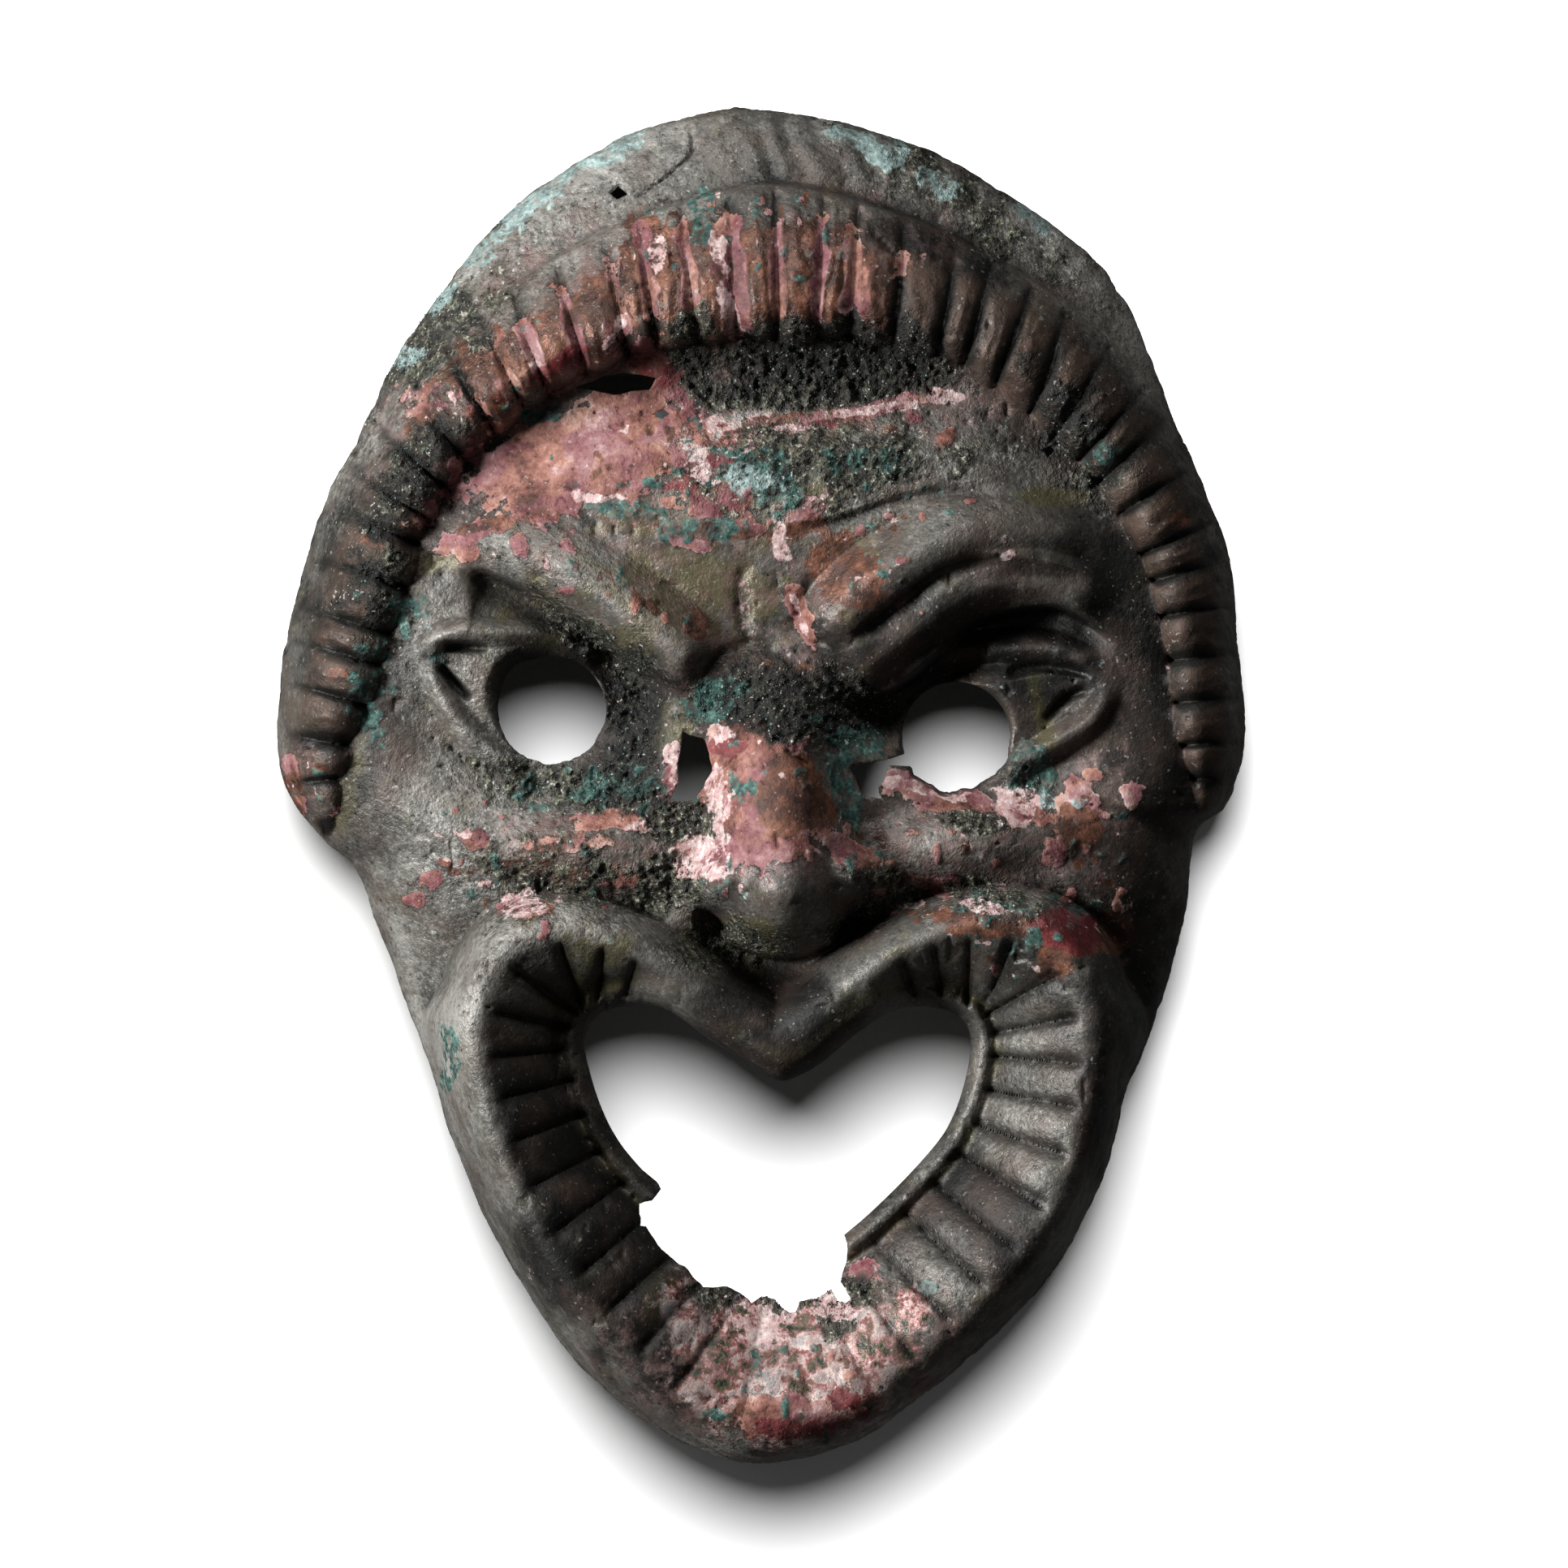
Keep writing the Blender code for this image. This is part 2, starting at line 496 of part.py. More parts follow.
def core_heights():
    # Height of the hollow's roof on a square grid: the face moved in by the wall, a little softened.
    step = TABLE_STEP
    side_x = np.arange(-400, 401, step, dtype=float)
    side_y = np.arange(-540, 541, step, dtype=float)
    x, y = np.meshgrid(side_x, side_y, indexing="ij")
    form, cuts = sculpt(x.ravel(), y.ravel())
    height = (form + 0.7 * cuts).reshape(x.shape)
    height[np.hypot(x, y) > outline_radius(np.arctan2(y, x))] = 0
    wall = WALL / SHARE
    cells = int(wall / step) + 1
    roof = height - wall
    for i in range(-cells, cells + 1):
        for j in range(-cells, cells + 1):
            aside = step * np.hypot(i, j)
            if aside < wall:
                moved = np.roll(height, (i, j), (0, 1)) - np.sqrt(wall ** 2 - aside ** 2)
                roof = np.minimum(roof, moved)
    soft = roof
    for _ in range(4):
        soft = (soft + sum(np.roll(soft, k, a) for k in (1, -1) for a in (0, 1))) / 5
    return side_x, side_y, np.minimum(roof, soft)


def sample(side_x, side_y, table, x, y):
    # Value of a table between its points.
    i = np.clip((x - side_x[0]) / (side_x[1] - side_x[0]), 0, side_x.size - 1.001)
    j = np.clip((y - side_y[0]) / (side_y[1] - side_y[0]), 0, side_y.size - 1.001)
    a, b = i.astype(int), j.astype(int)
    s, t = i - a, j - b
    low = table[a, b] * (1 - s) + table[a + 1, b] * s
    high = table[a, b + 1] * (1 - s) + table[a + 1, b + 1] * s
    return low * (1 - t) + high * t


def side_rings(turn, top_height, inset, depths):
    # Rings down the side, which curves in from the outline to the rim, moved in by a wall or not.
    wide, narrow = outline_radius(turn), rim_radius(turn)
    rings = []
    for down in depths:
        radius = narrow + (wide - narrow) * np.sqrt(1 - down ** 2) - inset
        rings.append(np.column_stack([radius * np.cos(turn), radius * np.sin(turn), top_height * (1 - down)]))
    return rings


def core_body():
    angle, distance = disc_grid(GRID // 2)
    wall = WALL / SHARE
    radius = distance * (outline_radius(angle) - 1.2 * wall)
    x, y = (radius * np.cos(angle)).ravel(), (radius * np.sin(angle)).ravel()
    top = np.column_stack([x, y, sample(*core_heights(), x, y)])
    edge = grid_border(GRID // 2)
    turn = angle.ravel()[edge]
    rings = side_rings(turn, np.minimum(top[edge, 2], shoulder(turn)), wall, (0.3, 0.6, 0.8, 1.0))
    rings.append(rings[-1] - [0, 0, 2 * SKIRT])
    return closed_object("hollow", top, rings, CORE_FACES)


def loft(name, rings, heights):
    # A closed upright body through rings of as many points each, every ring at its own height.
    count = len(rings[0])
    levels = [np.column_stack([ring, np.full(count, height)]) for ring, height in zip(rings, heights)]
    points = np.vstack(levels) * SHARE
    start = np.arange(count)
    turned = np.roll(start, -1)
    faces = [start[::-1].tolist(), (start + count * (len(rings) - 1)).tolist()]
    for level in range(len(rings) - 1):
        low, high = level * count, (level + 1) * count
        faces += np.stack([start + low, turned + low, turned + high, start + high], 1).tolist()
    mesh = bpy.data.meshes.new(name)
    mesh.from_pydata(points.tolist(), [], faces)
    body = bmesh.new()
    body.from_mesh(mesh)
    bmesh.ops.recalc_face_normals(body, faces=body.faces)
    body.to_mesh(mesh)
    body.free()
    made = bpy.data.objects.new(name, mesh)
    bpy.context.collection.objects.link(made)
    return made


def prism(name, outline, low, high):
    flat = np.array(outline, float)[:, :2]
    return loft(name, (flat, flat), (low, high))


def eye_cutter(side):
    # A round hole through the wall, flared and shifted a little towards the face.
    middle = np.array(EYES[side], float)
    drift = np.array(EYE_HOLE_DRIFT[side], float)
    form, _ = sculpt(middle[:1], middle[1:])
    wall = WALL / SHARE
    radius, flare = EYE_HOLE_RADIUS / SHARE, EYE_HOLE_FLARE / SHARE
    turns = np.linspace(0, 2 * np.pi, EYE_HOLE_SIDES, endpoint=False)
    circle = np.column_stack([np.cos(turns), np.sin(turns)])
    rings = [middle + drift * out + circle * (radius + flare * out) for out in (0, 0, 1, 3)]
    inner = form[0] - wall
    return loft("eye_hole_" + side, rings, (inner - 50, inner, inner + wall, inner + 3 * wall))


def mouth_cutter():
    ring = smooth_path(OPENING, closed=True, steps=2)[:-1]
    lower = np.array(BREAK, float)
    start = np.hypot(*(ring - lower[0]).T).argmin()
    end = np.hypot(*(ring - lower[-1]).T).argmin()
    outline = np.vstack([ring[:start], lower, ring[end + 1:]])
    return prism("mouth", outline, -SKIRT, OVER_ALL)


def cut(target, cutter, crossing=False):
    cutter.hide_render = True
    cutter.display_type = "WIRE"
    taken = target.modifiers.new("Cut " + cutter.name, "BOOLEAN")
    taken.operation = "DIFFERENCE"
    taken.solver = "EXACT"
    taken.use_self = crossing
    taken.object = cutter


def bronze():
    material = bpy.data.materials.new("patinated bronze")
    material.use_nodes = True
    shader = material.node_tree.nodes["Principled BSDF"]
    shader.inputs["Base Color"].default_value = (0.045, 0.040, 0.036, 1)
    shader.inputs["Roughness"].default_value = 0.45
    shader.inputs["Metallic"].default_value = 0.6
    return material


def main():
    for old in list(bpy.data.objects):
        bpy.data.objects.remove(old)
    mask = outer_body()
    mask.data.materials.append(bronze())
    floor = [(-600, -700), (600, -700), (600, 700), (-600, 700)]
    cut(mask, prism("floor", floor, -3 * SKIRT, 0))
    # The faceted outer body may cross itself a little in its deepest creases.
    cut(mask, core_body(), crossing=True)
    cut(mask, mouth_cutter())
    for side in EYES:
        cut(mask, eye_cutter(side))
    for name, outline in LOSSES.items():
        cut(mask, prism(name, outline, SKIRT, OVER_ALL))
    mask.data.shade_smooth()


main()
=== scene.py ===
import math
import bpy
import bmesh
import numpy as np
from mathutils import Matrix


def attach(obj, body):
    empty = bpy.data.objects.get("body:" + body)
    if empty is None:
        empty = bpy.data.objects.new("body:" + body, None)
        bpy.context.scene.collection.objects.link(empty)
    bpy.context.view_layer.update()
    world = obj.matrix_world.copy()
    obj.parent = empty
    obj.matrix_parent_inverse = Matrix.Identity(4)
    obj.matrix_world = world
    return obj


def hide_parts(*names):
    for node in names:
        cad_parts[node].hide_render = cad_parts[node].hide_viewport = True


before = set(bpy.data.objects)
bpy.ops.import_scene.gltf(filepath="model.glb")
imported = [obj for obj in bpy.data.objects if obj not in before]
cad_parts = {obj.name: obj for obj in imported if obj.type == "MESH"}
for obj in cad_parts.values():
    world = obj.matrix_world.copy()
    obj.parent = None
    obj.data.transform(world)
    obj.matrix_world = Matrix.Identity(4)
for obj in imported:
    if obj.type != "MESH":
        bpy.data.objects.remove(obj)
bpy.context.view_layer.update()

# A bronze comic theatre mask with its green, rose and black corrosion, lying face up on a white floor.
# The free form is drawn in thousandths of the mask's height, called shares, as the solid is.

share = 0.240 / 1000

# What a user would change on the cast shell: metres, or shares where a line says so.
maskShell = {
    "wall": 0.0030,
    "browHeight": 0.0500,
    "mouthDomeHeight": 0.0400,
    "domePowers": (2.6, 2.2),     # how full the plain dome is at its edge and at its crown
    "edgePower": 24,              # how close to the outline the face's forms die out
    "rimInset": 0.0015,
    "jawInset": 0.0050,
    "lockPitch": 0.0075,
    "lockDepth": 0.0032,
    "flutePitchAtCorners": 0.0054,
    "flutePitchBelow": 0.0078,
    "fluteDepth": 0.0030,
    "flutesFade": (0.8, 3, 34),   # how much shallower the flutes are at the bottom: part, degrees, spread
    "mouthLevel": 0.0410,
    "lipHeight": 0.0600,
    "mouthRingWidth": 0.0034,
    "mouthRingRise": 0.0022,
    "eyeHoleRadius": 0.0095,
    "eyeHoleFlare": 0.0012,
    "eyeHoleWear": 0.035,         # how ragged the eye holes' lower edges are, as a part of their radius
    "eyeHolePoints": 144,
    "lipSkirt": 60.0,             # in shares, how far the lip's outer side runs out
    "lipSkirtAbove": 36.0,        # the same over the upper lip, where a crease parts it from the cheeks
    "lipBlend": 16,               # in shares, how softly the lip meets the face
    "lipPower": 2.2,              # how full the lip's outer side is
    "lipDips": (190, 200),        # in shares, how far the lip's lower top and bottom reach from their middles
    "lipDip": 0.10,               # how much lower it is there
    "plainLip": (85, 38),         # in shares, how far from its middle the upper lip has no flutes, and the fade
    "funnelMiddle": (13, -160),
    "gridPoints": 560,            # points across the face before it is thinned
    "coreGridPoints": 230,
    "outerFaces": 168000,
    "coreFaces": 12000,
    "skirt": 30,                  # in shares, how far the shell is made below the rim before it is cut
    "overTop": 400,               # in shares, a height that is clear of the whole face
    "flankSteps": (0.08, 0.16, 0.25, 0.35, 0.45, 0.55, 0.65, 0.75, 0.85, 0.93, 1.0),
    "coreSteps": (0.3, 0.6, 0.8, 1.0),
}

# The face seen from the front, clockwise from the top.
outline = [
    (-19, 499), (37, 492), (84, 481), (127, 466), (175, 438), (223, 407), (253, 379), (279, 335),
    (303, 273), (329, 214), (345, 166), (351, 106), (357, 52), (353, 13), (342, -16), (323, -31),
    (317, -55), (312, -97), (299, -148), (281, -199), (270, -222), (262, -258), (249, -296), (215, -359),
    (160, -416), (92, -470), (58, -487), (21, -498), (-22, -497), (-78, -473), (-138, -422), (-184, -353),
    (-221, -279), (-249, -193), (-282, -106), (-298, -63), (-324, -39), (-351, 1), (-356, 46),
    (-351, 100), (-339, 151), (-321, 209), (-294, 261), (-271, 310), (-247, 347), (-194, 414),
    (-149, 449), (-104, 476), (-66, 489)]

# Height of the widest line above the rim, by direction in degrees from +X.
shoulderHeights = [
    (-180, 92), (-150, 84), (-120, 90), (-90, 108), (-60, 90), (-30, 84), (0, 92),
    (30, 100), (60, 108), (90, 112), (120, 108), (150, 100), (180, 92)]

# The roll of hair from ear to ear over the brow: place, half width and height.
roll = [
    (-324, -27, 14, 13), (-329, 22, 29, 25), (-315, 82, 37, 31), (-297, 142, 39, 33), (-278, 200, 38, 35),
    (-248, 252, 38, 38), (-205, 298, 42, 40), (-147, 338, 45, 44), (-81, 367, 50, 48), (7, 382, 60, 54),
    (85, 372, 51, 48), (152, 349, 44, 44), (212, 311, 44, 40), (259, 265, 41, 38), (293, 211, 36, 35),
    (316, 151, 32, 33), (325, 88, 29, 31), (330, 34, 25, 27), (332, -13, 13, 13)]

# How the roll and its locks run: parts of the roll's half width and of its half length, unless said.
rollShape = {
    "lean": (0.55, 0.85, 0.2),     # how far the crest leans to the brow, over what length, less this much
    "back": (0.45, 0.6),           # how much of the back stands up as a step, over what length
    "slant": (-1.2, 0.75),         # how the locks fan out, over what length
    "wander": ((3.3, 0.05, 0), (2.1, 0.127, 1)),    # two waves in the locks' places: shares, pitch, start
    "lockEnds": (0.13, 0.05),      # how much shorter the roll is in the grooves, and how uneven
}

# Mounds of the face: middle, half length, half width, turn in degrees and height.
mounds = {
    "forehead": (10, 196, 251, 96, 0, 12),
    "left eye socket": (-160, 44, 128, 98, 10, -34),
    "right eye socket": (172, 46, 137, 96, -8, -34),
    "left eyeball": (-172, 62, 72, 56, 0, 20),
    "right eyeball": (165, 50, 72, 52, 0, 17),
    "nose tip": (17, -86, 46, 40, 0, 16),
    "left nose wing": (-38, -72, 31, 26, 15, 27),
    "right nose wing": (76, -68, 32, 26, -18, 27),
    "left nostril": (-32, -101, 22, 12, -28, -28),
    "right nostril": (68, -103, 25, 13, 22, -38),
    "left outer cheek": (-225, -55, 90, 90, -25, 12),
    "right outer cheek": (264, -55, 90, 90, 25, 12),
    "left cheek": (-127, -50, 101, 37, -8, 21),
    "right cheek": (148, -43, 101, 37, 8, 21),
}

# Ridges and creases: place, half width and height, which is below zero in a crease.
ridges = {
    "hollow under the roll": [
        (-225, 219, 36, -8), (-142, 270, 42, -13), (-64, 285, 42, -17), (13, 285, 48, -19),
        (91, 285, 42, -19), (157, 273, 39, -15), (234, 219, 36, -10), (270, 148, 30, -8)],
    "left brow": [
        (-234, 174, 24, 6), (-201, 176, 28, 15), (-172, 170, 32, 22), (-142, 156, 36, 28),
        (-106, 132, 37, 33), (-70, 106, 36, 35), (-34, 80, 31, 25)],
    "right brow": [
        (37, 100, 30, 19), (73, 133, 36, 27), (109, 160, 36, 29), (151, 181, 35, 27), (199, 184, 32, 23),
        (240, 172, 27, 15)],
    "right brow fold": [
        (55, 82, 21, 17), (91, 97, 23, 21), (115, 115, 24, 22), (145, 139, 24, 22), (181, 151, 23, 21),
        (222, 147, 22, 18), (258, 124, 19, 9)],
    "left crease over the lip": [
        (-57, -90, 12, -9), (-94, -90, 16, -15), (-140, -90, 16, -15), (-178, -98, 14, -13),
        (-207, -122, 14, -11), (-225, -154, 14, -8)],
    "right crease over the lip": [
        (97, -74, 12, -8), (124, -84, 16, -13), (163, -86, 16, -13), (216, -86, 16, -10),
        (246, -103, 16, -8), (267, -139, 14, -6)],
    "left upper lid": [
        (-252, 93, 9, 8), (-239, 106, 11, 13), (-221, 112, 12, 16), (-194, 112, 12, 16), (-169, 112, 12, 16),
        (-139, 105, 12, 14), (-112, 88, 12, 8)],
    "left lower lid": [
        (-246, 93, 10, 9), (-234, 65, 11, 13), (-218, 41, 12, 14), (-196, 22, 12, 12), (-172, 9, 12, 8)],
    "right upper lid": [
        (100, 70, 10, 8), (118, 85, 11, 12), (145, 98, 13, 16), (181, 102, 14, 17), (216, 100, 13, 15),
        (252, 84, 11, 7)],
    "right lower lid": [
        (259, 73, 10, 7), (240, 47, 13, 13), (216, 31, 13, 14), (194, 18, 12, 12), (172, 1, 11, 7)],
}

# The nose from its root to the lip: place, half width and height.
nose = [
    (12, 110, 44, 4), (11, 66, 46, 20), (10, 22, 48, 38), (12, -18, 55, 54), (15, -46, 62, 62),
    (17, -68, 64, 64), (18, -86, 60, 60), (18, -104, 48, 50), (17, -118, 34, 30), (16, -130, 20, 8)]

# Overhanging edges of the brows: width of the drop, reach of the hollow below, then places and drops.
steps = {
    "left brow edge": (7, 46, [
        (-226, 160, 6), (-204, 160, 14), (-178, 150, 23), (-150, 137, 28), (-122, 118, 31), (-96, 97, 33),
        (-75, 83, 30), (-52, 66, 22)]),
    "right brow band edge": (6, 21, [
        (55, 100, 4), (73, 119, 7), (102, 141, 9), (128, 160, 10), (163, 170, 10), (198, 166, 9),
        (233, 157, 7), (256, 143, 4)]),
    "right brow edge": (7, 46, [
        (49, 63, 16), (67, 66, 22), (93, 71, 28), (128, 98, 32), (147, 116, 33), (172, 127, 33),
        (207, 133, 30), (233, 129, 22), (270, 100, 10)]),
    "nose edge": (5, 24, [
        (-54, -90, 6), (-34, -104, 14), (-8, -118, 18), (17, -124, 20), (40, -118, 18), (66, -106, 14),
        (92, -86, 6)]),
}

# Incised lines and cracks: place, half width and depth.
scoredLines = {
    "left upper lid line": [(-234, 102, 5, -7), (-216, 101, 6, -9), (-198, 101, 5, -6)],
    "left lower lid line": [(-236, 88, 5, -6), (-225, 75, 6, -9), (-211, 62, 5, -6)],
    "right upper lid line": [(178, 81, 6, -7), (204, 86, 6, -9), (228, 85, 6, -8), (245, 80, 5, -5)],
    "right lower lid line": [(207, 46, 5, -6), (223, 63, 6, -8), (240, 71, 5, -6)],
    "right forehead line": [
        (22, 184, 5, -3), (58, 193, 5, -5), (105, 209, 5, -4), (138, 213, 5, -3), (216, 207, 5, -2)],
    "left forehead line": [(-222, 196, 5, -2), (-194, 209, 5, -3), (-162, 215, 5, -3), (-130, 213, 5, -3)],
    "left frown line": [(-15, 160, 7, -2), (-13, 130, 9, -4), (-11, 108, 7, -3)],
    "right frown line": [(39, 155, 7, -2), (32, 133, 9, -4), (23, 108, 7, -3)],
    "bridge fold": [(-50, 76, 7, -3), (-30, 92, 8, -4), (-11, 102, 8, -4), (10, 95, 8, -4), (31, 82, 7, -3)],
}
cracks = {
    "crown crack": [
        (-53, 488, 2, -3), (-50, 470, 2, -4), (-52, 461, 2, -4), (-66, 448, 2, -4), (-72, 443, 2, -4),
        (-87, 432, 2, -4), (-97, 434, 2, -3)],
    "roll crack": [(80, 404, 2, -3), (90, 396, 2, -4), (103, 380, 2, -3)],
    "nose crack": [(-34, 5, 2, -3), (-22, 16, 2, -4), (-10, 27, 2, -3), (-4, 31, 2, -2)],
    "short nose crack": [(17, 26, 2, -3), (27, 20, 2, -4), (37, 14, 2, -3)],
}

# The trumpet mouth, clockwise from the middle of the upper lip: its crest and its opening.
crestLine = [
    (13, -191), (64, -151), (91, -129), (120, -113), (149, -104), (178, -102), (207, -109), (228, -130),
    (240, -160), (245, -193), (242, -236), (234, -279), (218, -318), (197, -349), (173, -379),
    (149, -406), (118, -436), (85, -459), (52, -476), (16, -484), (-19, -479), (-49, -466), (-77, -444),
    (-103, -416), (-127, -385), (-148, -355), (-166, -325), (-181, -292), (-193, -258), (-201, -225),
    (-206, -193), (-204, -164), (-194, -133), (-172, -112), (-138, -107), (-103, -117), (-73, -133),
    (-43, -156), (-13, -176)]
openingLine = [
    (12, -216), (29, -212), (46, -202), (66, -185), (83, -173), (98, -165), (115, -162), (132, -164),
    (146, -170), (153, -182), (153, -199), (149, -219), (141, -242), (129, -262), (98, -296), (61, -329),
    (28, -345), (-4, -348), (-34, -333), (-58, -312), (-92, -276), (-107, -256), (-118, -233),
    (-126, -207), (-129, -190), (-125, -176), (-115, -166), (-101, -162), (-84, -161), (-70, -164),
    (-55, -173), (-38, -186), (-12, -202)]

# Where the lower lip is broken away.
brokenLip = [
    (61, -329), (64, -340), (62, -353), (58, -363), (66, -375), (63, -379), (56, -378), (52, -369),
    (40, -375), (28, -378), (26, -385), (19, -384), (11, -377), (0, -375), (-6, -379), (-15, -372),
    (-27, -367), (-42, -367), (-56, -353), (-65, -346), (-75, -337), (-84, -323), (-88, -322),
    (-89, -306), (-80, -304), (-74, -296), (-78, -289)]

eyeHoles = {"left": ((-153, 55), (-5, 5)), "right": ((143, 36), (2, 2))}
losses = {
    "noseBridgeHole": [
        (-57, 39), (-42, 34), (-37, 23), (-36, 10), (-42, -2), (-49, -10), (-57, -12), (-66, -10),
        (-61, 0), (-61, 15), (-58, 33)],
    "eyeNotch": [
        (65, 14), (96, 20), (108, 24), (110, 14), (95, 15), (90, 3), (86, -2), (88, -10), (74, -9), (70, 5)],
    "rollSlot": [(-135, 291), (-115, 300), (-98, 302), (-77, 298), (-81, 290), (-106, 286)],
    "foreheadHole": [(-79, 272), (-72, 276), (-66, 272), (-72, 268)],
    "templeHole": [(207, 246), (211, 249), (215, 245), (210, 240)],
    "crownHole": [(-111, 434), (-105, 439), (-98, 433), (-105, 429)],
}


def smoothPath(points, closed=False, pieces=6):
    # a smooth curve through the points; further columns are carried along
    p = np.asarray(points, float)
    if closed:
        before, here, there, after = (np.roll(p, k, 0) for k in (1, 0, -1, -2))
    else:
        longer = np.vstack([2 * p[0] - p[1], p, 2 * p[-1] - p[-2]])
        before, here, there, after = longer[:-3], longer[1:-2], longer[2:-1], longer[3:]
    made = []
    for t in np.arange(pieces) / pieces:
        cubic = 3 * here + after - before - 3 * there
        square = 2 * before - 5 * here + 4 * there - after
        made.append(here + 0.5 * ((there - before) * t + square * t ** 2 + cubic * t ** 3))
    curve = np.stack(made, 1).reshape(-1, p.shape[1])
    return np.vstack([curve, curve[:1] if closed else p[-1:]])


def nearest(path, x, y, reach=1000.0):
    # distance to the path, above zero on its left, the length run to there, and its further columns
    far = np.full(x.shape, 1000.0)
    run = np.zeros(x.shape)
    more = np.ones((path.shape[1] - 2,) + x.shape)
    start, step = path[:-1], np.diff(path, axis=0)
    length = np.hypot(step[:, 0], step[:, 1]) + 1e-9
    before = np.concatenate([[0], np.cumsum(length)])
    nearX = (x > path[:, 0].min() - reach) & (x < path[:, 0].max() + reach)
    nearY = (y > path[:, 1].min() - reach) & (y < path[:, 1].max() + reach)
    close = np.flatnonzero(nearX & nearY)
    for first in range(0, close.size, 20000):
        i = close[first:first + 20000]
        dx = x[i, None] - start[:, 0]
        dy = y[i, None] - start[:, 1]
        t = np.clip((dx * step[:, 0] + dy * step[:, 1]) / length ** 2, 0, 1)
        gap = np.hypot(dx - t * step[:, 0], dy - t * step[:, 1])
        j = gap.argmin(1)
        row = np.arange(i.size)
        left = step[j, 0] * dy[row, j] - step[j, 1] * dx[row, j] >= 0
        far[i] = np.where(left, gap[row, j], -gap[row, j])
        run[i] = before[j] + t[row, j] * length[j]
        more[:, i] = (start[j, 2:] + t[row, j, None] * step[j, 2:]).T
    return far, run, more, before[-1]


def runAlong(path):
    # the length run from the path's start to each of its points
    return np.concatenate([[0], np.cumsum(np.hypot(*np.diff(path[:, :2], axis=0).T))])


def inside(path, x, y):
    within = np.zeros(x.shape, bool)
    for (x0, y0), (x1, y1) in zip(path[:-1, :2], path[1:, :2]):
        if y0 != y1:
            within ^= ((y0 > y) != (y1 > y)) & (x < (x1 - x0) * (y - y0) / (y1 - y0) + x0)
    return within


def ease(t):
    t = np.clip(t, 0, 1)
    return t * t * (3 - 2 * t)


def bell(t):
    return (1 - np.clip(t * t, 0, 1)) ** 2


def blendMax(a, b, width):
    part = np.clip(0.5 + 0.5 * (a - b) / width, 0, 1)
    return b + (a - b) * part + width * part * (1 - part)


def lumps(x, y, size, seed):
    # smooth random hills from -1 to 1, about one size apart
    table = np.random.default_rng(seed).uniform(-1, 1, (256, 256))
    u, v = x / size + 17.3 * seed, y / size + 9.1 * seed
    i, j = np.floor(u).astype(int), np.floor(v).astype(int)
    s, t = ease(u - i), ease(v - j)
    near = table[i % 256, j % 256] * (1 - s) + table[(i + 1) % 256, j % 256] * s
    far = table[i % 256, (j + 1) % 256] * (1 - s) + table[(i + 1) % 256, (j + 1) % 256] * s
    return near * (1 - t) + far * t


def rough(x, y, size, seed, layers=4):
    # hills on hills, each layer half as wide and a little over half as high
    total, height = 0, 1.0
    for layer in range(layers):
        total = total + height * lumps(x, y, size / 2 ** layer, seed + layer)
        height *= 0.55
    return total


def byDirection(path):
    angle = np.arctan2(path[:-1, 1], path[:-1, 0])
    order = np.argsort(angle)
    return angle[order], np.hypot(path[order, 0], path[order, 1])


outlineAngles, outlineRadii = byDirection(smoothPath(outline, closed=True))


def outlineRadius(angle):
    return np.interp(angle, outlineAngles, outlineRadii, period=2 * np.pi)


def rimRadius(angle):
    # the rim is smoother than the outline and lies inside it, most of all under the jaw
    turns = np.radians(np.arange(-15, 16, 3))
    mean = sum(outlineRadius(angle + turn) for turn in turns) / len(turns)
    jaw = bell((np.degrees(angle) + 90) / 80)
    inset = maskShell["rimInset"] + (maskShell["jawInset"] - maskShell["rimInset"]) * jaw
    return np.minimum(mean, outlineRadius(angle)) - inset / share


def shoulder(angle):
    table = np.array(shoulderHeights, float)
    return np.interp(np.degrees(angle), table[:, 0], table[:, 1])


def placeOnRoll(x, y):
    # place across the roll and along it, both from -1 to 1, its height, and the place along it in locks
    far, run, (half, tall), total = nearest(smoothPath(roll), x, y, 80)
    across = -far / half
    middle = 2 * run / total - 1
    fan, length = rollShape["slant"]
    slant = fan * middle * bell(middle / length)
    wander = sum(shares * np.sin(run * pitch + start) for shares, pitch, start in rollShape["wander"])
    lock = (run + slant * across * half + wander) / (maskShell["lockPitch"] / share)
    return across, middle, tall, lock


def hairRoll(x, y):
    # the rolled hair, as a body and the grooves between its locks
    across, middle, tall, lock = placeOnRoll(x, y)
    forward, length, less = rollShape["lean"]
    lean = forward * bell(middle / length) - less
    step, length = rollShape["back"]
    back = step * bell(middle / length)
    shorter, uneven = rollShape["lockEnds"]
    rounded = np.sqrt(1 - (2 * (lock % 1) - 1) ** 2)
    end = 1 - shorter * (1 - rounded) + uneven * np.sin(np.floor(lock) * 2.4)
    uphill = 1 - np.clip((lean - across) / (1 + lean), 0, 1) ** 2
    downhill = 1 - np.clip((across - lean) / (end - lean), 0, 1) ** 3
    rise = back * ease((across + 1) / 0.08) + (1 - back) * np.where(across < lean, uphill, downhill)
    onRoll = (across > -1) & (across < end)
    body = tall * rise * ease((end - across) / 0.1) * onRoll
    fade = ease((1 - np.abs(across)) / 0.25) * (0.55 + 0.45 * ease((across + 0.5) / 0.8))
    grooves = -maskShell["lockDepth"] / share * (1 - rounded) * fade * (np.abs(across) < 1)
    return body, grooves


def fromMiddle(x, y, middleX, middleY, length, width, turn):
    # how far out a point is in a turned ellipse: nought in its middle, one at its edge
    cos, sin = math.cos(math.radians(turn)), math.sin(math.radians(turn))
    along = ((x - middleX) * cos + (y - middleY) * sin) / length
    aside = ((y - middleY) * cos - (x - middleX) * sin) / width
    return np.hypot(along, aside)


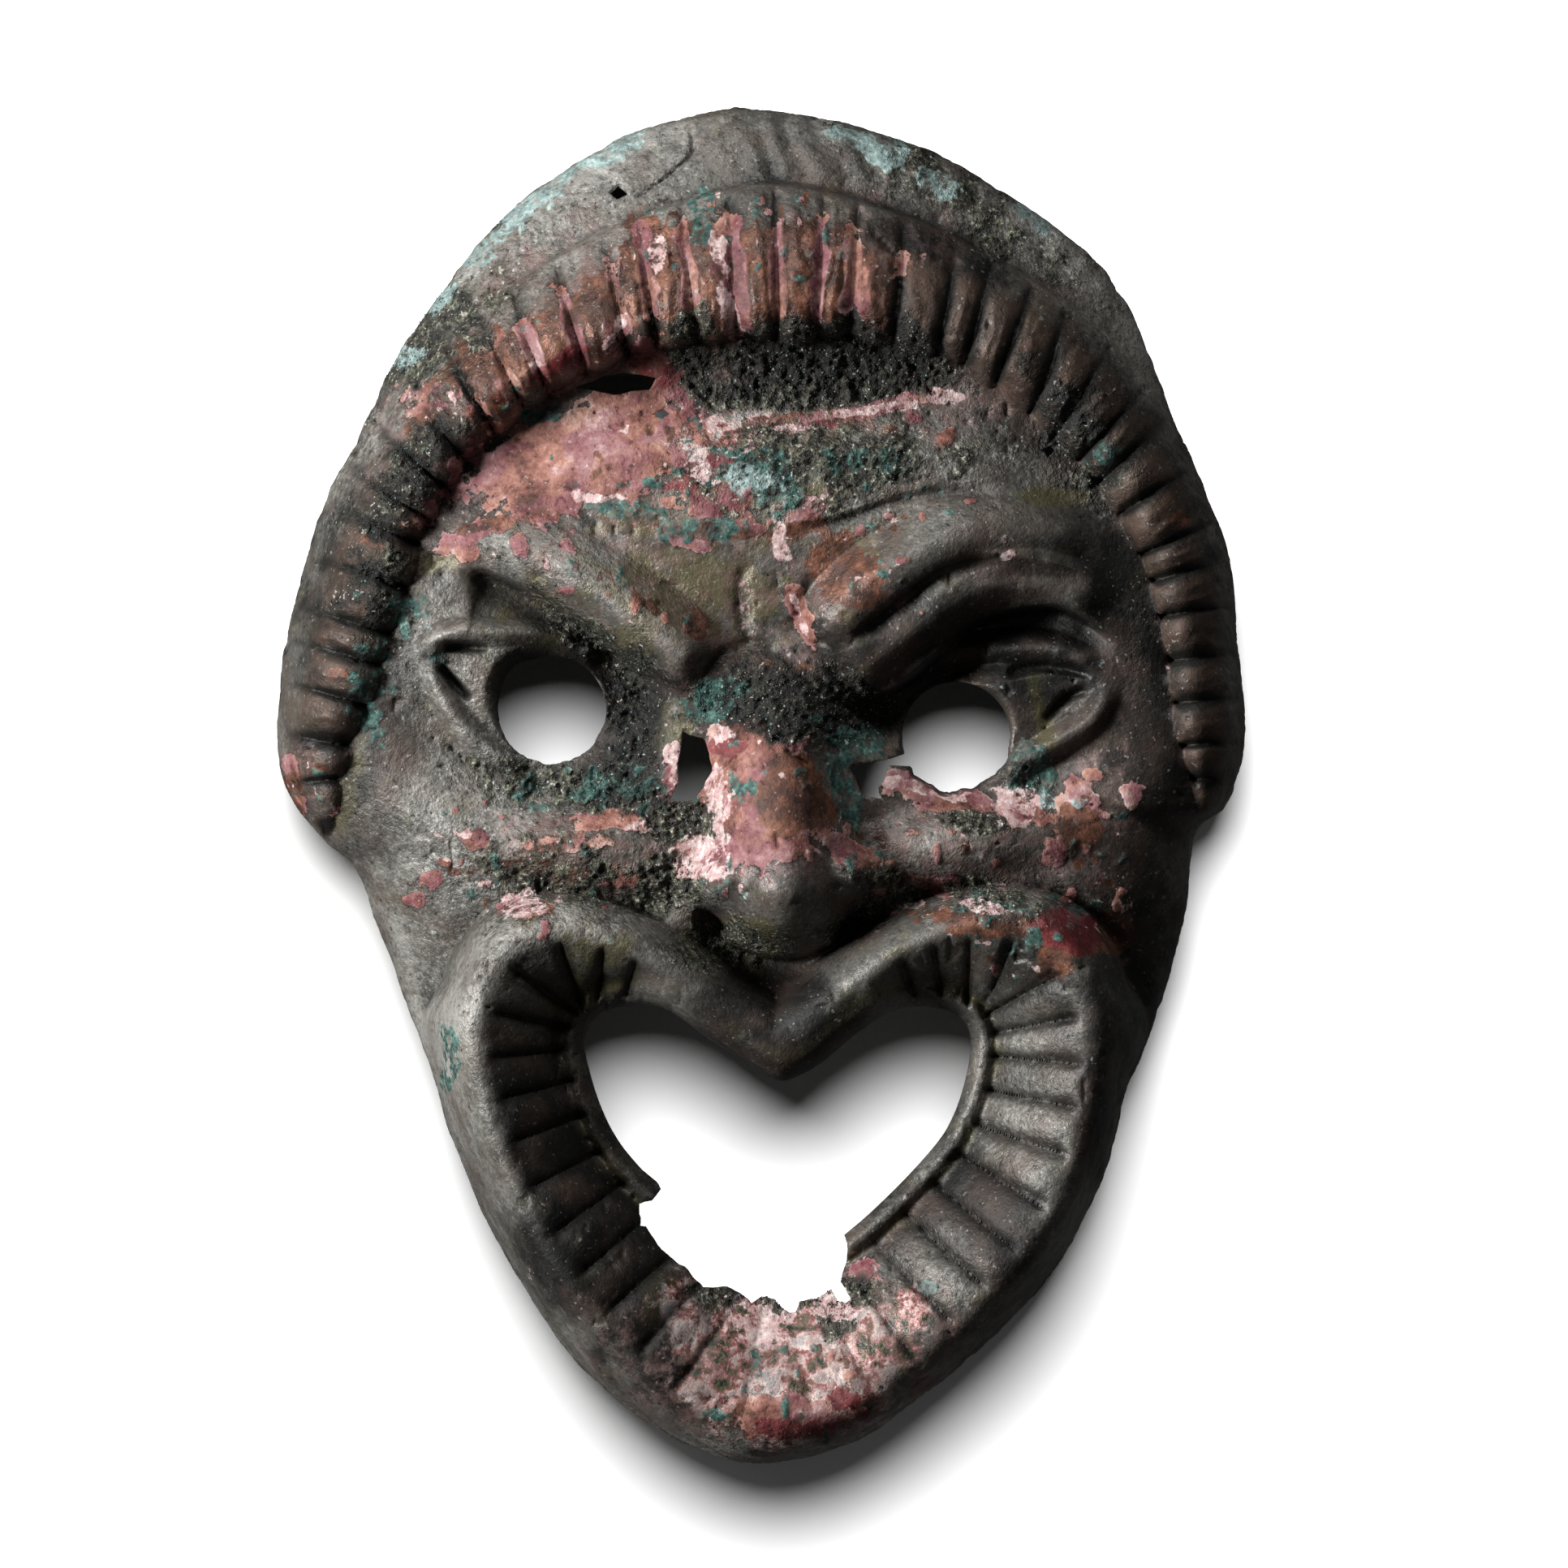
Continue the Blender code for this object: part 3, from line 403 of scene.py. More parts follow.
def ridge(x, y, points, fullness=1.5):
    far, run, (half, height), total = nearest(smoothPath(points), x, y, 90)
    ends = 0.15 + 0.85 * ease(np.minimum(run, total - run) / (0.12 * total))
    return height * bell(far / half) ** (fullness / 2) * ends


def drop(x, y, width, reach, points):
    # a sharp step down on the right of the path, with a hollow that rises again slowly
    far, run, (height,), total = nearest(smoothPath(points), x, y, width + reach)
    ends = ease(np.minimum(run, total - run) / (0.15 * total))
    hollow = ease(-far / width) * bell(np.clip(-far - width, 0, None) / reach)
    return -height * ends * hollow


def face(x, y):
    height = np.zeros(x.shape)
    for *place, rise in mounds.values():
        height += rise * bell(fromMiddle(x, y, *place))
    for points in ridges.values():
        height += ridge(x, y, points)
    height += ridge(x, y, nose, fullness=1.1)
    for width, reach, points in steps.values():
        height += drop(x, y, width, reach, points)
    return height


def fluteCount(path):
    step = np.hypot(*np.diff(path[:, :2], axis=0).T)
    low = ease((-150 - path[1:, 1]) / 130)
    narrow, wide = maskShell["flutePitchAtCorners"], maskShell["flutePitchBelow"]
    count = np.concatenate([[0], np.cumsum(step / (narrow + (wide - narrow) * low) * share)])
    return count * round(count[-1]) / count[-1]


def trumpet(x, y, under, edgeHeight):
    # the wide lip: a rounded crest, a fluted funnel inside it and a ring round the opening
    crest = smoothPath(crestLine, closed=True, pieces=4)
    opening = smoothPath(openingLine, closed=True, pieces=4)
    facing = nearest(opening, crest[:, 0], crest[:, 1])[1]
    across = np.column_stack([np.interp(facing, runAlong(opening), opening[:, k]) for k in (0, 1)])
    middle = (crest + across) / 2
    fromCrest = np.abs(nearest(crest, x, y, 150)[0])
    fromOpening = np.abs(nearest(opening, x, y, 150)[0])
    _, run, _, total = nearest(middle, x, y, 150)
    within = inside(crest, x, y)
    funnel = within & ~inside(opening, x, y)
    level = maskShell["mouthLevel"] / share
    part = fromOpening / (fromOpening + fromCrest + 1e-6)
    fromTop, fromBottom = np.minimum(run, total - run), run - total / 2
    topReach, bottomReach = maskShell["lipDips"]
    topDip = maskShell["lipDip"] * bell(fromTop / topReach)
    bottomDip = maskShell["lipDip"] * bell(fromBottom / bottomReach)
    top = maskShell["lipHeight"] / share * (1 - topDip - bottomDip)
    plain, fade = maskShell["plainLip"]
    fluted = ease((fromTop - plain) / fade)
    slope = 0.15 * part + 0.85 * np.sin(part * np.pi / 2) ** 1.3
    rolled = np.sqrt(1 - (1 - part) ** 2)
    inner = level + (top - level) * (fluted * slope + (1 - fluted) * rolled)
    width = maskShell["mouthRingWidth"] / share
    ring = bell((fromOpening - 0.5 * width) / (0.8 * width)) * (0.4 + 0.6 * fluted)
    behind = bell((fromOpening - 1.5 * width) / (0.65 * width)) * fluted
    inner += (ring - 0.45 * behind) * maskShell["mouthRingRise"] / share
    toEdge = np.clip(outlineRadius(np.arctan2(y, x)) - np.hypot(x, y), 0, 1000)
    above = ease((y + 190) / 50)
    skirt = maskShell["lipSkirt"] + (maskShell["lipSkirtAbove"] - maskShell["lipSkirt"]) * above
    fall = fromCrest * ((fromCrest + toEdge + 1) ** -4 + skirt ** -4) ** 0.25
    outer = edgeHeight + (top - edgeHeight) * np.sqrt(1 - np.clip(fall, 0, 1) ** maskShell["lipPower"])
    height = np.where(within, np.where(funnel, inner, level), blendMax(outer, under, maskShell["lipBlend"]))
    count = np.interp(run, runAlong(middle), fluteCount(middle))
    lobe = count % 1
    middleX, middleY = maskShell["funnelMiddle"]
    angle = np.degrees(np.arctan2(x - middleX, middleY - y))
    less, lowest, spread = maskShell["flutesFade"]
    kept = fluted * (1 - less * bell((angle - lowest) / spread))
    depth = maskShell["fluteDepth"] / share * ease(2.6 * bell((part - 0.52) / 0.46))
    gap = 1 - np.sqrt(1 - (2 * lobe - 1) ** 2)
    uneven = 0.12 * (1 + np.sin(np.floor(count) * 2.4)) * bell(2 * lobe - 1)
    flutes = -depth * (gap + uneven) * kept * funnel
    return height, flutes


def sculpt(x, y):
    # height over the rim plane, as the plain form and the fine cuts in it
    angle = np.arctan2(y, x)
    edgeHeight = shoulder(angle)
    reach = np.clip(np.hypot(x, y) / outlineRadius(angle), 0, 1)
    low = maskShell["mouthDomeHeight"]
    crown = (maskShell["browHeight"] + (low - maskShell["browHeight"]) * ease(-y / 250)) / share
    atEdge, atCrown = maskShell["domePowers"]
    dome = edgeHeight + (crown - edgeHeight) * (1 - reach ** atEdge) ** (1 / atCrown)
    body, grooves = hairRoll(x, y)
    form, flutes = trumpet(x, y, dome + face(x, y) + body, edgeHeight)
    lines = sum(ridge(x, y, points) for points in scoredLines.values())
    roundOff = np.sqrt(1 - reach ** maskShell["edgePower"])
    return dome + (form - dome) * roundOff, (grooves + flutes + lines) * roundOff


# Where each kind of corrosion lies, and where the metal is painted lighter or darker (pale, dark): middle, half
# length and half width in shares, turn in degrees, strength.
# The order of the kinds seeds their ragged edges.
# Pale is partly the metal's own lighter tone and partly painted light where the lamps fall on the left; dark is
# partly darker metal and crust and partly painted shade on the right side turned from the lamps and under the
# upper lip.
patinaAndPaintedLightPlaces = {
    "pale": [
        (-215, 60, 50, 70, 20, 1.6), (-220, -50, 90, 80, -30, 1.3), (-238, -150, 30, 110, 12, 1.3),
        (-150, 170, 80, 22, -18, 1.4), (-120, 420, 110, 60, 38, 1.3), (-90, 140, 60, 26, -38, 1.0),
        (60, 240, 130, 44, 4, 0.5), (120, -330, 30, 60, 40, 0.7), (-140, -90, 90, 34, -4, 1.2),
        (150, -62, 90, 26, -12, 1.2), (100, 196, 90, 22, 10, 0.4), (230, 370, 90, 30, -50, 1.3),
        (-172, -120, 30, 20, 0, 1.2), (190, -225, 30, 50, 0, 1.2), (-290, -30, 30, 60, 30, 1.2),
        (-286, 250, 70, 20, 50, 1.3), (-212, 350, 44, 60, 45, 1.7), (280, 110, 20, 40, 0, 0.7),
        (0, -488, 60, 16, 0, 0.9), (205, 235, 40, 30, -40, 0.7), (-225, -420, 50, 20, -50, 0.6)],
    "dark": [
        (290, 60, 46, 90, 0, 1.3), (275, -140, 44, 90, 16, 0.6), (14, -186, 70, 50, 0, 2.6),
        (215, 285, 70, 40, -45, 0.9), (50, 312, 110, 28, 0, 1.5), (-130, -290, 34, 110, 28, 1.1),
        (-300, 110, 34, 130, 0, 0.7), (160, 100, 110, 40, 0, 1.1), (200, -420, 120, 40, 45, 1.0),
        (-60, -420, 60, 40, -40, 1.0), (-96, 40, 34, 60, 0, 1.6), (20, 66, 90, 34, 0, 1.9),
        (300, 180, 40, 60, 0, 0.8), (110, 330, 60, 30, -20, 1.2), (-240, 220, 30, 60, -34, 0.6),
        (264, 130, 36, 60, 0, 1.8), (-2, 62, 50, 30, 0, 2.6), (166, -315, 30, 50, 30, 1.3),
        (-145, 80, 40, 24, -10, 0.8), (-150, -350, 26, 44, 30, 1.4), (243, -230, 14, 60, 0, 1.4),
        (-82, -378, 28, 30, 0, 1.9), (118, 380, 60, 30, -14, 2.2), (308, 120, 30, 70, 0, 1.5),
        (120, -310, 24, 30, 40, 0.6)],
    "marble": [
        (30, -425, 84, 58, 0, 2.2), (110, -384, 13, 20, 0, 1.2), (76, -360, 15, 10, 20, 0.9),
        (-60, -378, 12, 18, 0, 0.7), (-54, -436, 7, 24, 0, 1.0), (0, 262, 60, 10, 4, 0.7),
        (-50, 250, 22, 16, 0, 0.9)],
    "rose": [
        (-133, 240, 92, 36, 17, 1.6), (-88, 268, 46, 22, -8, 1.2), (-205, 187, 28, 8, 20, 1.0),
        (-80, 304, 14, 20, 30, 1.2), (-34, 210, 29, 17, 0, 1.2), (-7, 187, 11, 8, 0, 1.0),
        (25, 200, 26, 8, 14, 1.1), (-55, 179, 16, 6, -8, 1.0), (28, 127, 6, 24, 20, 0.9),
        (43, 270, 40, 5, 6, 1.2), (97, 279, 40, 5, 14, 1.2), (-64, 287, 18, 14, 0, 1.0),
        (-19, 19, 24, 26, 0, 1.5), (2, -10, 40, 46, 0, 1.2), (5, -44, 42, 15, 0, 1.3),
        (-28, -43, 30, 22, 20, 1.2), (66, -50, 32, 10, -28, 1.2), (-66, 2, 7, 26, -14, 1.3),
        (-100, -25, 36, 8, 4, 1.0), (-142, -43, 32, 8, 0, 1.0), (-130, -67, 52, 7, -4, 1.0),
        (-169, -87, 18, 13, 0, 1.2), (-207, -40, 9, 7, 0, 1.0), (-240, -67, 8, 6, 0, 1.0),
        (-255, -84, 9, 6, 0, 1.0), (-345, 15, 5, 8, 0, 1.0), (104, 2, 20, 9, -20, 1.3),
        (140, -11, 40, 10, -8, 1.3), (192, -18, 20, 11, -14, 1.1), (140, -76, 36, 6, -16, 1.0),
        (232, -12, 14, 16, 0, 0.9), (244, 8, 9, 5, 0, 1.0), (272, -8, 9, 9, 0, 0.8),
        (215, -48, 10, 12, 0, 0.9), (16, -462, 44, 14, 0, 1.1), (76, -354, 12, 8, 20, 1.1),
        (-250, 200, 12, 8, 0, 0.6), (-345, -10, 9, 14, 20, 0.8), (112, 268, 9, 5, 0, 0.9),
        (96, 258, 8, 5, 0, 0.9), (137, 255, 8, 6, 40, 1.0), (-252, 280, 20, 14, 0, 0.7),
        (-46, 116, 9, 10, 0, 0.9), (-216, 170, 8, 5, 0, 0.8), (-176, 176, 6, 8, 0, 0.9)],
    "lockRose": [
        (-4, 369, 100, 48, 4, 1.5), (-82, 380, 22, 40, 0, 1.4), (-142, 327, 62, 34, 32, 1.5),
        (-180, 300, 36, 26, 40, 1.2), (80, 356, 12, 26, 0, 1.0)],
    "flaky": [
        (-190, -60, 110, 60, -20, 1.4), (120, -60, 130, 50, -10, 1.6), (-60, 240, 160, 60, 10, 1.3),
        (60, 200, 140, 40, 6, 1.4), (240, -60, 60, 90, 0, 1.5), (0, 20, 90, 70, 0, 1.2),
        (-200, 300, 90, 60, 40, 1.4), (-20, 400, 150, 60, 0, 1.3), (190, -120, 70, 40, 0, 1.4),
        (-40, -70, 90, 30, 0, 1.2), (30, -440, 110, 60, 0, 1.4), (-330, -10, 30, 50, 0, 1.3),
        (-100, 140, 120, 40, -30, 1.0), (80, 150, 90, 40, 0, 1.0)],
    "blush": [
        (139, -46, 64, 34, -10, 1.7), (225, -25, 44, 34, 30, 0.9), (-130, -50, 60, 26, -4, 0.9),
        (-60, 140, 80, 30, -34, 0.4), (40, 150, 50, 34, 0, 0.9), (0, -30, 66, 50, 0, 1.0),
        (-133, 240, 110, 50, 17, 1.0), (-55, 186, 70, 12, -6, 0.8), (60, 262, 110, 18, 6, 0.8),
        (-220, 290, 60, 40, 45, 0.7), (-60, 380, 120, 30, 5, 0.7), (-345, 0, 20, 30, 0, 0.7),
        (40, -430, 110, 60, 0, 1.0)],
    "rust": [
        (62, 157, 26, 31, 15, 1.7), (20, -5, 22, 32, -14, 2.0), (36, -12, 16, 28, 20, 1.5),
        (-46, 116, 8, 8, 0, 0.8), (158, -100, 46, 12, -6, 1.2), (216, -120, 14, 24, 0, 0.8),
        (254, -112, 22, 16, 0, 1.1), (-273, 180, 18, 10, -10, 1.2), (-310, 82, 8, 4, 0, 1.1),
        (-210, 306, 30, 20, 40, 1.0), (-240, 262, 20, 16, 0, 1.0), (-118, 352, 30, 18, 30, 0.9),
        (306, 195, 7, 7, 0, 1.0), (312, 150, 9, 4, 0, 0.9), (14, 84, 24, 8, 0, 0.8),
        (-150, -62, 44, 7, -4, 0.9), (92, 345, 14, 22, 0, 0.9), (-202, 190, 18, 4, 14, 0.9),
        (25, 186, 24, 5, 14, 0.7), (70, 72, 14, 8, 0, 0.7), (-345, 0, 8, 18, 10, 0.6),
        (-80, -17, 16, 7, 0, 1.0), (119, -439, 12, 6, 30, 1.2), (-40, 186, 50, 5, -4, 0.8),
        (234, -30, 14, 18, 0, 0.7)],
    "crimson": [
        (228, -108, 17, 17, 0, 1.4), (206, -104, 18, 10, 0, 0.9), (-52, 222, 20, 5, 10, 0.9),
        (-66, 300, 20, 6, 0, 0.7), (-150, 306, 40, 6, 30, 0.8), (-34, 236, 20, 5, 10, 1.0),
        (48, 264, 22, 4, 4, 0.9), (150, -80, 30, 5, -14, 0.8), (60, -446, 14, 8, 0, 0.9),
        (20, -470, 24, 8, 0, 0.9), (-22, 30, 16, 8, 0, 0.7)],
    "verdigris": [
        (-13, 234, 34, 14, 0, 1.4), (61, 234, 20, 10, 0, 1.1), (97, 236, 10, 10, 0, 1.0),
        (-166, 276, 18, 9, 0, 1.0), (-40, 54, 20, 13, 0, 1.3), (72, 34, 22, 14, 0, 1.4),
        (64, -8, 32, 9, -70, 1.6), (-34, 70, 18, 9, 0, 1.0), (-33, -459, 12, 7, 0, 1.2),
        (-237, 92, 6, 6, 0, 1.2), (-284, 80, 12, 44, 0, 0.7), (198, -110, 6, 9, 0, 1.1),
        (-228, -199, 6, 24, 0, 0.8), (196, 8, 14, 17, 40, 1.1), (-43, 417, 7, 22, 0, 0.8),
        (246, 243, 13, 8, 0, 0.9), (-262, 122, 14, 12, 0, 0.7), (-90, 200, 26, 6, -6, 0.8),
        (-40, 186, 24, 8, 0, 0.9), (10, 212, 20, 8, 0, 0.8), (170, -92, 26, 6, -10, 0.7),
        (-110, -2, 40, 8, 0, 0.3)],
    "turquoise": [
        (-166, 428, 52, 9, 42, 1.4), (-106, 467, 20, 7, 25, 1.1), (-234, 354, 8, 14, -30, 0.9),
        (64, 479, 17, 7, -10, 1.2), (91, 464, 20, 9, -20, 1.2), (127, 444, 14, 9, -20, 1.1),
        (136, 434, 10, 7, 0, 1.0), (-200, 396, 24, 8, 45, 1.0), (-6, 224, 20, 8, -10, 0.9),
        (-262, 318, 10, 12, -30, 0.8), (200, 420, 16, 6, -45, 0.7), (208, -12, 7, 5, 0, 1.2),
        (233, -12, 5, 4, 0, 1.1), (121, -366, 7, 6, 0, 1.4)],
    "crust": [
        (48, 315, 96, 25, 0, 1.8), (37, 290, 84, 14, 4, 1.5), (49, 238, 86, 26, 4, 0.8),
        (-50, 322, 16, 30, 0, 1.0), (-92, 58, 18, 50, 0, 1.3), (-130, -2, 56, 18, 0, 1.2),
        (-178, 8, 28, 18, 0, 0.7), (13, 62, 62, 28, 0, 1.8), (61, 58, 34, 26, 0, 1.3),
        (-58, -25, 36, 16, 0, 1.2), (-160, -67, 40, 24, 0, 0.6), (-66, -70, 30, 24, 0, 1.1),
        (-22, -115, 36, 16, 0, 0.9), (155, -27, 25, 8, -6, 1.5), (-120, 108, 50, 10, -36, 0.6),
        (28, -372, 60, 12, 0, 0.9), (56, -392, 14, 14, 0, 1.0), (-262, 214, 20, 60, -34, 0.8),
        (96, -70, 30, 14, -30, 0.7), (230, 262, 36, 20, -45, 0.6), (110, 304, 40, 14, -10, 0.9),
        (196, 2, 12, 16, 20, 0.8), (-280, 150, 16, 40, -10, 0.5), (-240, 330, 24, 60, -42, 0.5),
        (150, 430, 70, 16, -32, 0.4), (60, -100, 40, 10, 20, 0.7), (180, -84, 30, 10, -14, 0.6)],
    "chalk": [
        (-46, 234, 12, 11, 0, 1.3), (-76, 387, 6, 24, 0, 1.0), (-31, 393, 5, 18, 10, 1.0),
        (186, -17, 21, 12, -22, 1.3), (133, 285, 12, 5, 0, 1.2), (-25, 38, 16, 5, -10, 1.0),
        (168, -90, 20, 4, -12, 1.2), (-172, -88, 12, 9, 0, 1.0), (2, -392, 26, 14, 0, 0.9),
        (52, -380, 12, 8, 0, 0.9), (-46, -61, 15, 9, 0, 0.9), (179, 167, 6, 2.5, 30, 1.4),
        (-66, 14, 5, 20, 0, 0.9), (-30, -14, 7, 34, 6, 0.9), (-44, -44, 12, 10, 0, 0.9),
        (120, -3, 34, 4, -12, 1.2), (24, 262, 24, 4, 4, 1.0), (-36, 262, 14, 8, 0, 0.8),
        (-110, 210, 20, 3, -4, 0.6), (14, 176, 5, 14, 8, 0.9), (27, 128, 3, 20, 20, 1.1),
        (-22, 348, 5, 16, 10, 0.9), (-86, -30, 14, 5, 0, 0.9), (-12, 128, 3, 16, 0, 0.9),
        (80, 274, 30, 3, 8, 1.0), (130, -4, 30, 3, -8, 0.9), (-104, 332, 4, 24, -30, 0.8)],
    "olive": [
        (22, 252, 36, 18, 0, 1.2), (210, 212, 36, 6, -4, 1.2), (-22, -115, 36, 16, 0, 1.1),
        (-300, 5, 7, 34, -14, 0.9), (-130, -139, 30, 20, 30, 0.5), (-166, -91, 12, 10, 0, 0.9),
        (28, -402, 11, 17, 0, 1.5), (43, 219, 20, 10, 0, 0.8), (-237, 160, 24, 9, 20, 0.9),
        (-231, 225, 10, 8, 0, 0.8), (206, 50, 8, 24, 10, 0.8), (-60, 150, 60, 40, 0, 0.35),
        (88, 300, 40, 10, 10, 0.7), (-230, 420, 40, 20, 50, 0.4), (-110, 470, 10, 6, 0, 0.8),
        (-64, 40, 14, 20, 0, 0.9), (59, -390, 9, 10, 0, 1.4), (103, -412, 7, 16, 0, 1.1),
        (-36, -400, 9, 24, 0, 1.1), (-76, -378, 9, 18, 0, 0.9)],
}

# How ragged each kind's edge is.
patinaAndPaintedLightEdges = {
    "pale": 0.4, "dark": 0.4, "marble": 0.6, "rose": 0.5, "lockRose": 0.5, "flaky": 0.0, "blush": 0.7,
    "rust": 0.5, "crimson": 0.6, "verdigris": 0.7, "turquoise": 0.8, "crust": 0.6, "chalk": 0.8, "olive": 0.7}

# Small islands in the flaky places: kind, size in shares, seed and rarity.
patinaIslands = (("rose", 11, 141, 1.02), ("rust", 9, 151, 1.12), ("chalk", 6, 161, 1.25),
                 ("verdigris", 10, 171, 1.10))


def patinaAndPaintedLight(x, y, cuts):
    # how far inside each kind of corrosion and each place of painted light and shade a point lies: above zero
    # inside, below zero outside
    fields = {}
    for kind, (name, places) in enumerate(patinaAndPaintedLightPlaces.items()):
        best = np.full(x.shape, -1.0)
        for *place, strength in places:
            best = np.maximum(best, strength * (1 - fromMiddle(x, y, *place)))
        ragged = (0.6 * lumps(x, y, 22, 40 + kind) + 0.6 * lumps(x, y, 9, 60 + kind)
                  + 0.4 * lumps(x, y, 4, 80 + kind))
        fields[name] = np.clip(best + patinaAndPaintedLightEdges[name] * ragged, -1, 1)
    # on the roll the rose lies in the grooves between the locks, and the locks are rusty
    groove = 2.4 * np.clip(-cuts / 5, 0, 1) - 0.75 + 0.9 * lumps(x, y, 12, 97)
    locks, flaky = fields.pop("lockRose"), ease(fields.pop("flaky") + 0.2)
    for name, size, seed, rarity in patinaIslands:
        hills = 1.5 * lumps(x, y, size, seed) + 0.6 * lumps(x, y, size / 2, seed + 1)
        islands = hills - rarity - 1.2 * (1 - flaky)
        fields[name] = np.maximum(fields[name], np.clip(islands, -1, 1))
    fields["rose"] = np.maximum(fields["rose"], np.minimum(locks, groove))
    fields["rust"] = np.maximum(fields["rust"], np.minimum(locks - 0.1, 0.3 - groove))
    fromOpening = np.abs(nearest(smoothPath(openingLine, closed=True, pieces=3), x, y, 40)[0])
    ochre = 0.6 * bell((fromOpening - 17) / 8) - 0.55 + 0.5 * lumps(x, y, 14, 98)
    fields["olive"] = np.clip(np.maximum(fields["olive"], ochre), -1, 1)
    return fields


relief = {
    "crustLumps": 0.0007,       # height of the black crust's lumps
    "crustGrain": 0.00045,
    "layer": 0.00028,           # how far a coloured layer stands over the metal
    "undulation": 0.00012,
    "pits": 0.0005,
    "sizes": {"crustLumps": 8, "crustGrain": 3.2, "undulation": 18, "pits": 7, "pitPatches": 40},    # shares
    "fadeAtEdge": 12,           # the power by which the corrosion's height dies out at the outline
    "eaten": 0.0030,            # how deep the outline is worn, as a part of its distance from the middle
    "eatenSize": 14,            # in shares
    "strands": 0.00070,         # combed hair on the cap
    "strandTurn": 4.6,          # degrees from one strand to the next
    "crownMiddle": (10, 150),
    "lockStrands": 0.00030,     # furrows along the locks of the roll
    "furrowsPerLock": 3.4,
}


def corrosion(x, y, cuts, reach):
    # what corrosion adds to the cast surface, in shares
    fields = patinaAndPaintedLight(x, y, cuts)
    crust = ease((fields["crust"] + 0.1) / 0.5)
    sizes = relief["sizes"]
    lumpy = np.abs(rough(x, y, sizes["crustLumps"], 3)) * 1.3 - 0.4
    grain = rough(x, y, sizes["crustGrain"], 9, layers=2)
    height = crust * (relief["crustLumps"] * lumpy + relief["crustGrain"] * grain)
    for name in ("rose", "verdigris", "turquoise"):
        height = height + relief["layer"] * ease(fields[name] / 0.12) * (1 - 0.7 * crust)
    height = height + relief["undulation"] * rough(x, y, sizes["undulation"], 21)
    patches = ease((lumps(x, y, sizes["pitPatches"], 33) + 0.2) / 0.5)
    height = height - relief["pits"] * ease((lumps(x, y, sizes["pits"], 31) - 0.62) / 0.2) * patches
    return height / share * np.sqrt(1 - reach ** relief["fadeAtEdge"])


def lockStrands(x, y):
    # three fine furrows along each lock of the roll, fading at the locks' ends
    across, _, _, lock = placeOnRoll(x, y)
    wave = np.abs(2 * ((relief["furrowsPerLock"] * lock + 0.5 * lumps(x, y, 16, 73)) % 1) - 1)
    kept = ease((1 - np.abs(across)) / 0.25) * (0.4 + 0.6 * ease((lumps(x, y, 24, 75) + 0.5) / 0.6))
    return -relief["lockStrands"] / share * (1 - ease(wave)) * kept


def capStrands(x, y):
    # faint strands that run from the crown's middle out over the cap
    middleX, middleY = relief["crownMiddle"]
    angle = np.degrees(np.arctan2(y - middleY, x - middleX))
    behind = ease((nearest(smoothPath(roll), x, y, 200)[0] - 58) / 12) * ease((y - middleY) / 60)
    phase = angle / relief["strandTurn"] + 0.35 * np.sin(np.hypot(x, y) * 0.06) + 0.5 * lumps(x, y, 40, 71)
    wave = ease(1 - np.abs(2 * (phase % 1) - 1)) - 0.5
    return relief["strands"] / share * wave * behind * (0.5 + 0.5 * ease((x + 40) / 120))


def discGrid(count):
    # a square grid pressed into a round one: direction and distance of each point, 0 to 1
    side = np.linspace(-1, 1, count)
    u, v = np.meshgrid(side, side, indexing="ij")
    x = u * np.sqrt(1 - v * v / 2)
    y = v * np.sqrt(1 - u * u / 2)
    return np.arctan2(y, x), np.hypot(x, y)


def gridFaces(count):
    cell = np.arange(count * count).reshape(count, count)
    corners = (cell[:-1, :-1], cell[1:, :-1], cell[1:, 1:], cell[:-1, 1:])
    return np.stack(corners, -1).reshape(-1, 4).tolist()


def gridBorder(count):
    cell = np.arange(count * count).reshape(count, count)
    return np.concatenate([cell[:-1, 0], cell[-1, :-1], cell[:0:-1, -1], cell[0, :0:-1]])


def link(name, data):
    made = bpy.data.objects.new(name, data)
    bpy.context.collection.objects.link(made)
    return made


def meshOf(name, points, faces, triangles=False):
    mesh = bpy.data.meshes.new(name)
    mesh.from_pydata(points.tolist(), [], faces)
    body = bmesh.new()
    body.from_mesh(mesh)
    if triangles:
        bmesh.ops.triangulate(body, faces=body.faces)
    bmesh.ops.recalc_face_normals(body, faces=body.faces)
    body.to_mesh(mesh)
    body.free()
    return mesh


def baked(source, name):
    # the object's shape with its modifiers, as a plain mesh in a new object; the old one goes
    graph = bpy.context.evaluated_depsgraph_get()
    mesh = bpy.data.meshes.new_from_object(source.evaluated_get(graph), depsgraph=graph)
    mesh.name = name
    bpy.data.objects.remove(source)
    return link(name, mesh)


def closedBody(name, top, rings, facesLeft):
    # the grid on top, rings of points down its side, a flat bottom, then fewer faces
    count = int(round(math.sqrt(len(top))))
    faces = gridFaces(count)
    upper = gridBorder(count)
    lower = len(top) + np.arange(upper.size)
    for _ in rings:
        faces += np.stack([upper, np.roll(upper, -1), np.roll(lower, -1), lower], 1)[:, ::-1].tolist()
        upper, lower = lower, lower + upper.size
    faces.append(upper[::-1].tolist())
    made = link(name, meshOf(name, np.vstack([top] + rings) * share, faces, triangles=True))
    fewer = made.modifiers.new("Fewer faces", "DECIMATE")
    fewer.ratio = facesLeft / len(made.data.polygons)
    fewer.use_collapse_triangulate = True
    return baked(made, name)


def sideRings(turn, topHeight, inset, depths):
    wide, narrow = outlineRadius(turn), rimRadius(turn)
    rings = []
    for down in depths:
        radius = narrow + (wide - narrow) * np.sqrt(1 - down ** 2) - inset
        rings.append(np.column_stack([radius * np.cos(turn), radius * np.sin(turn), topHeight * (1 - down)]))
    return rings


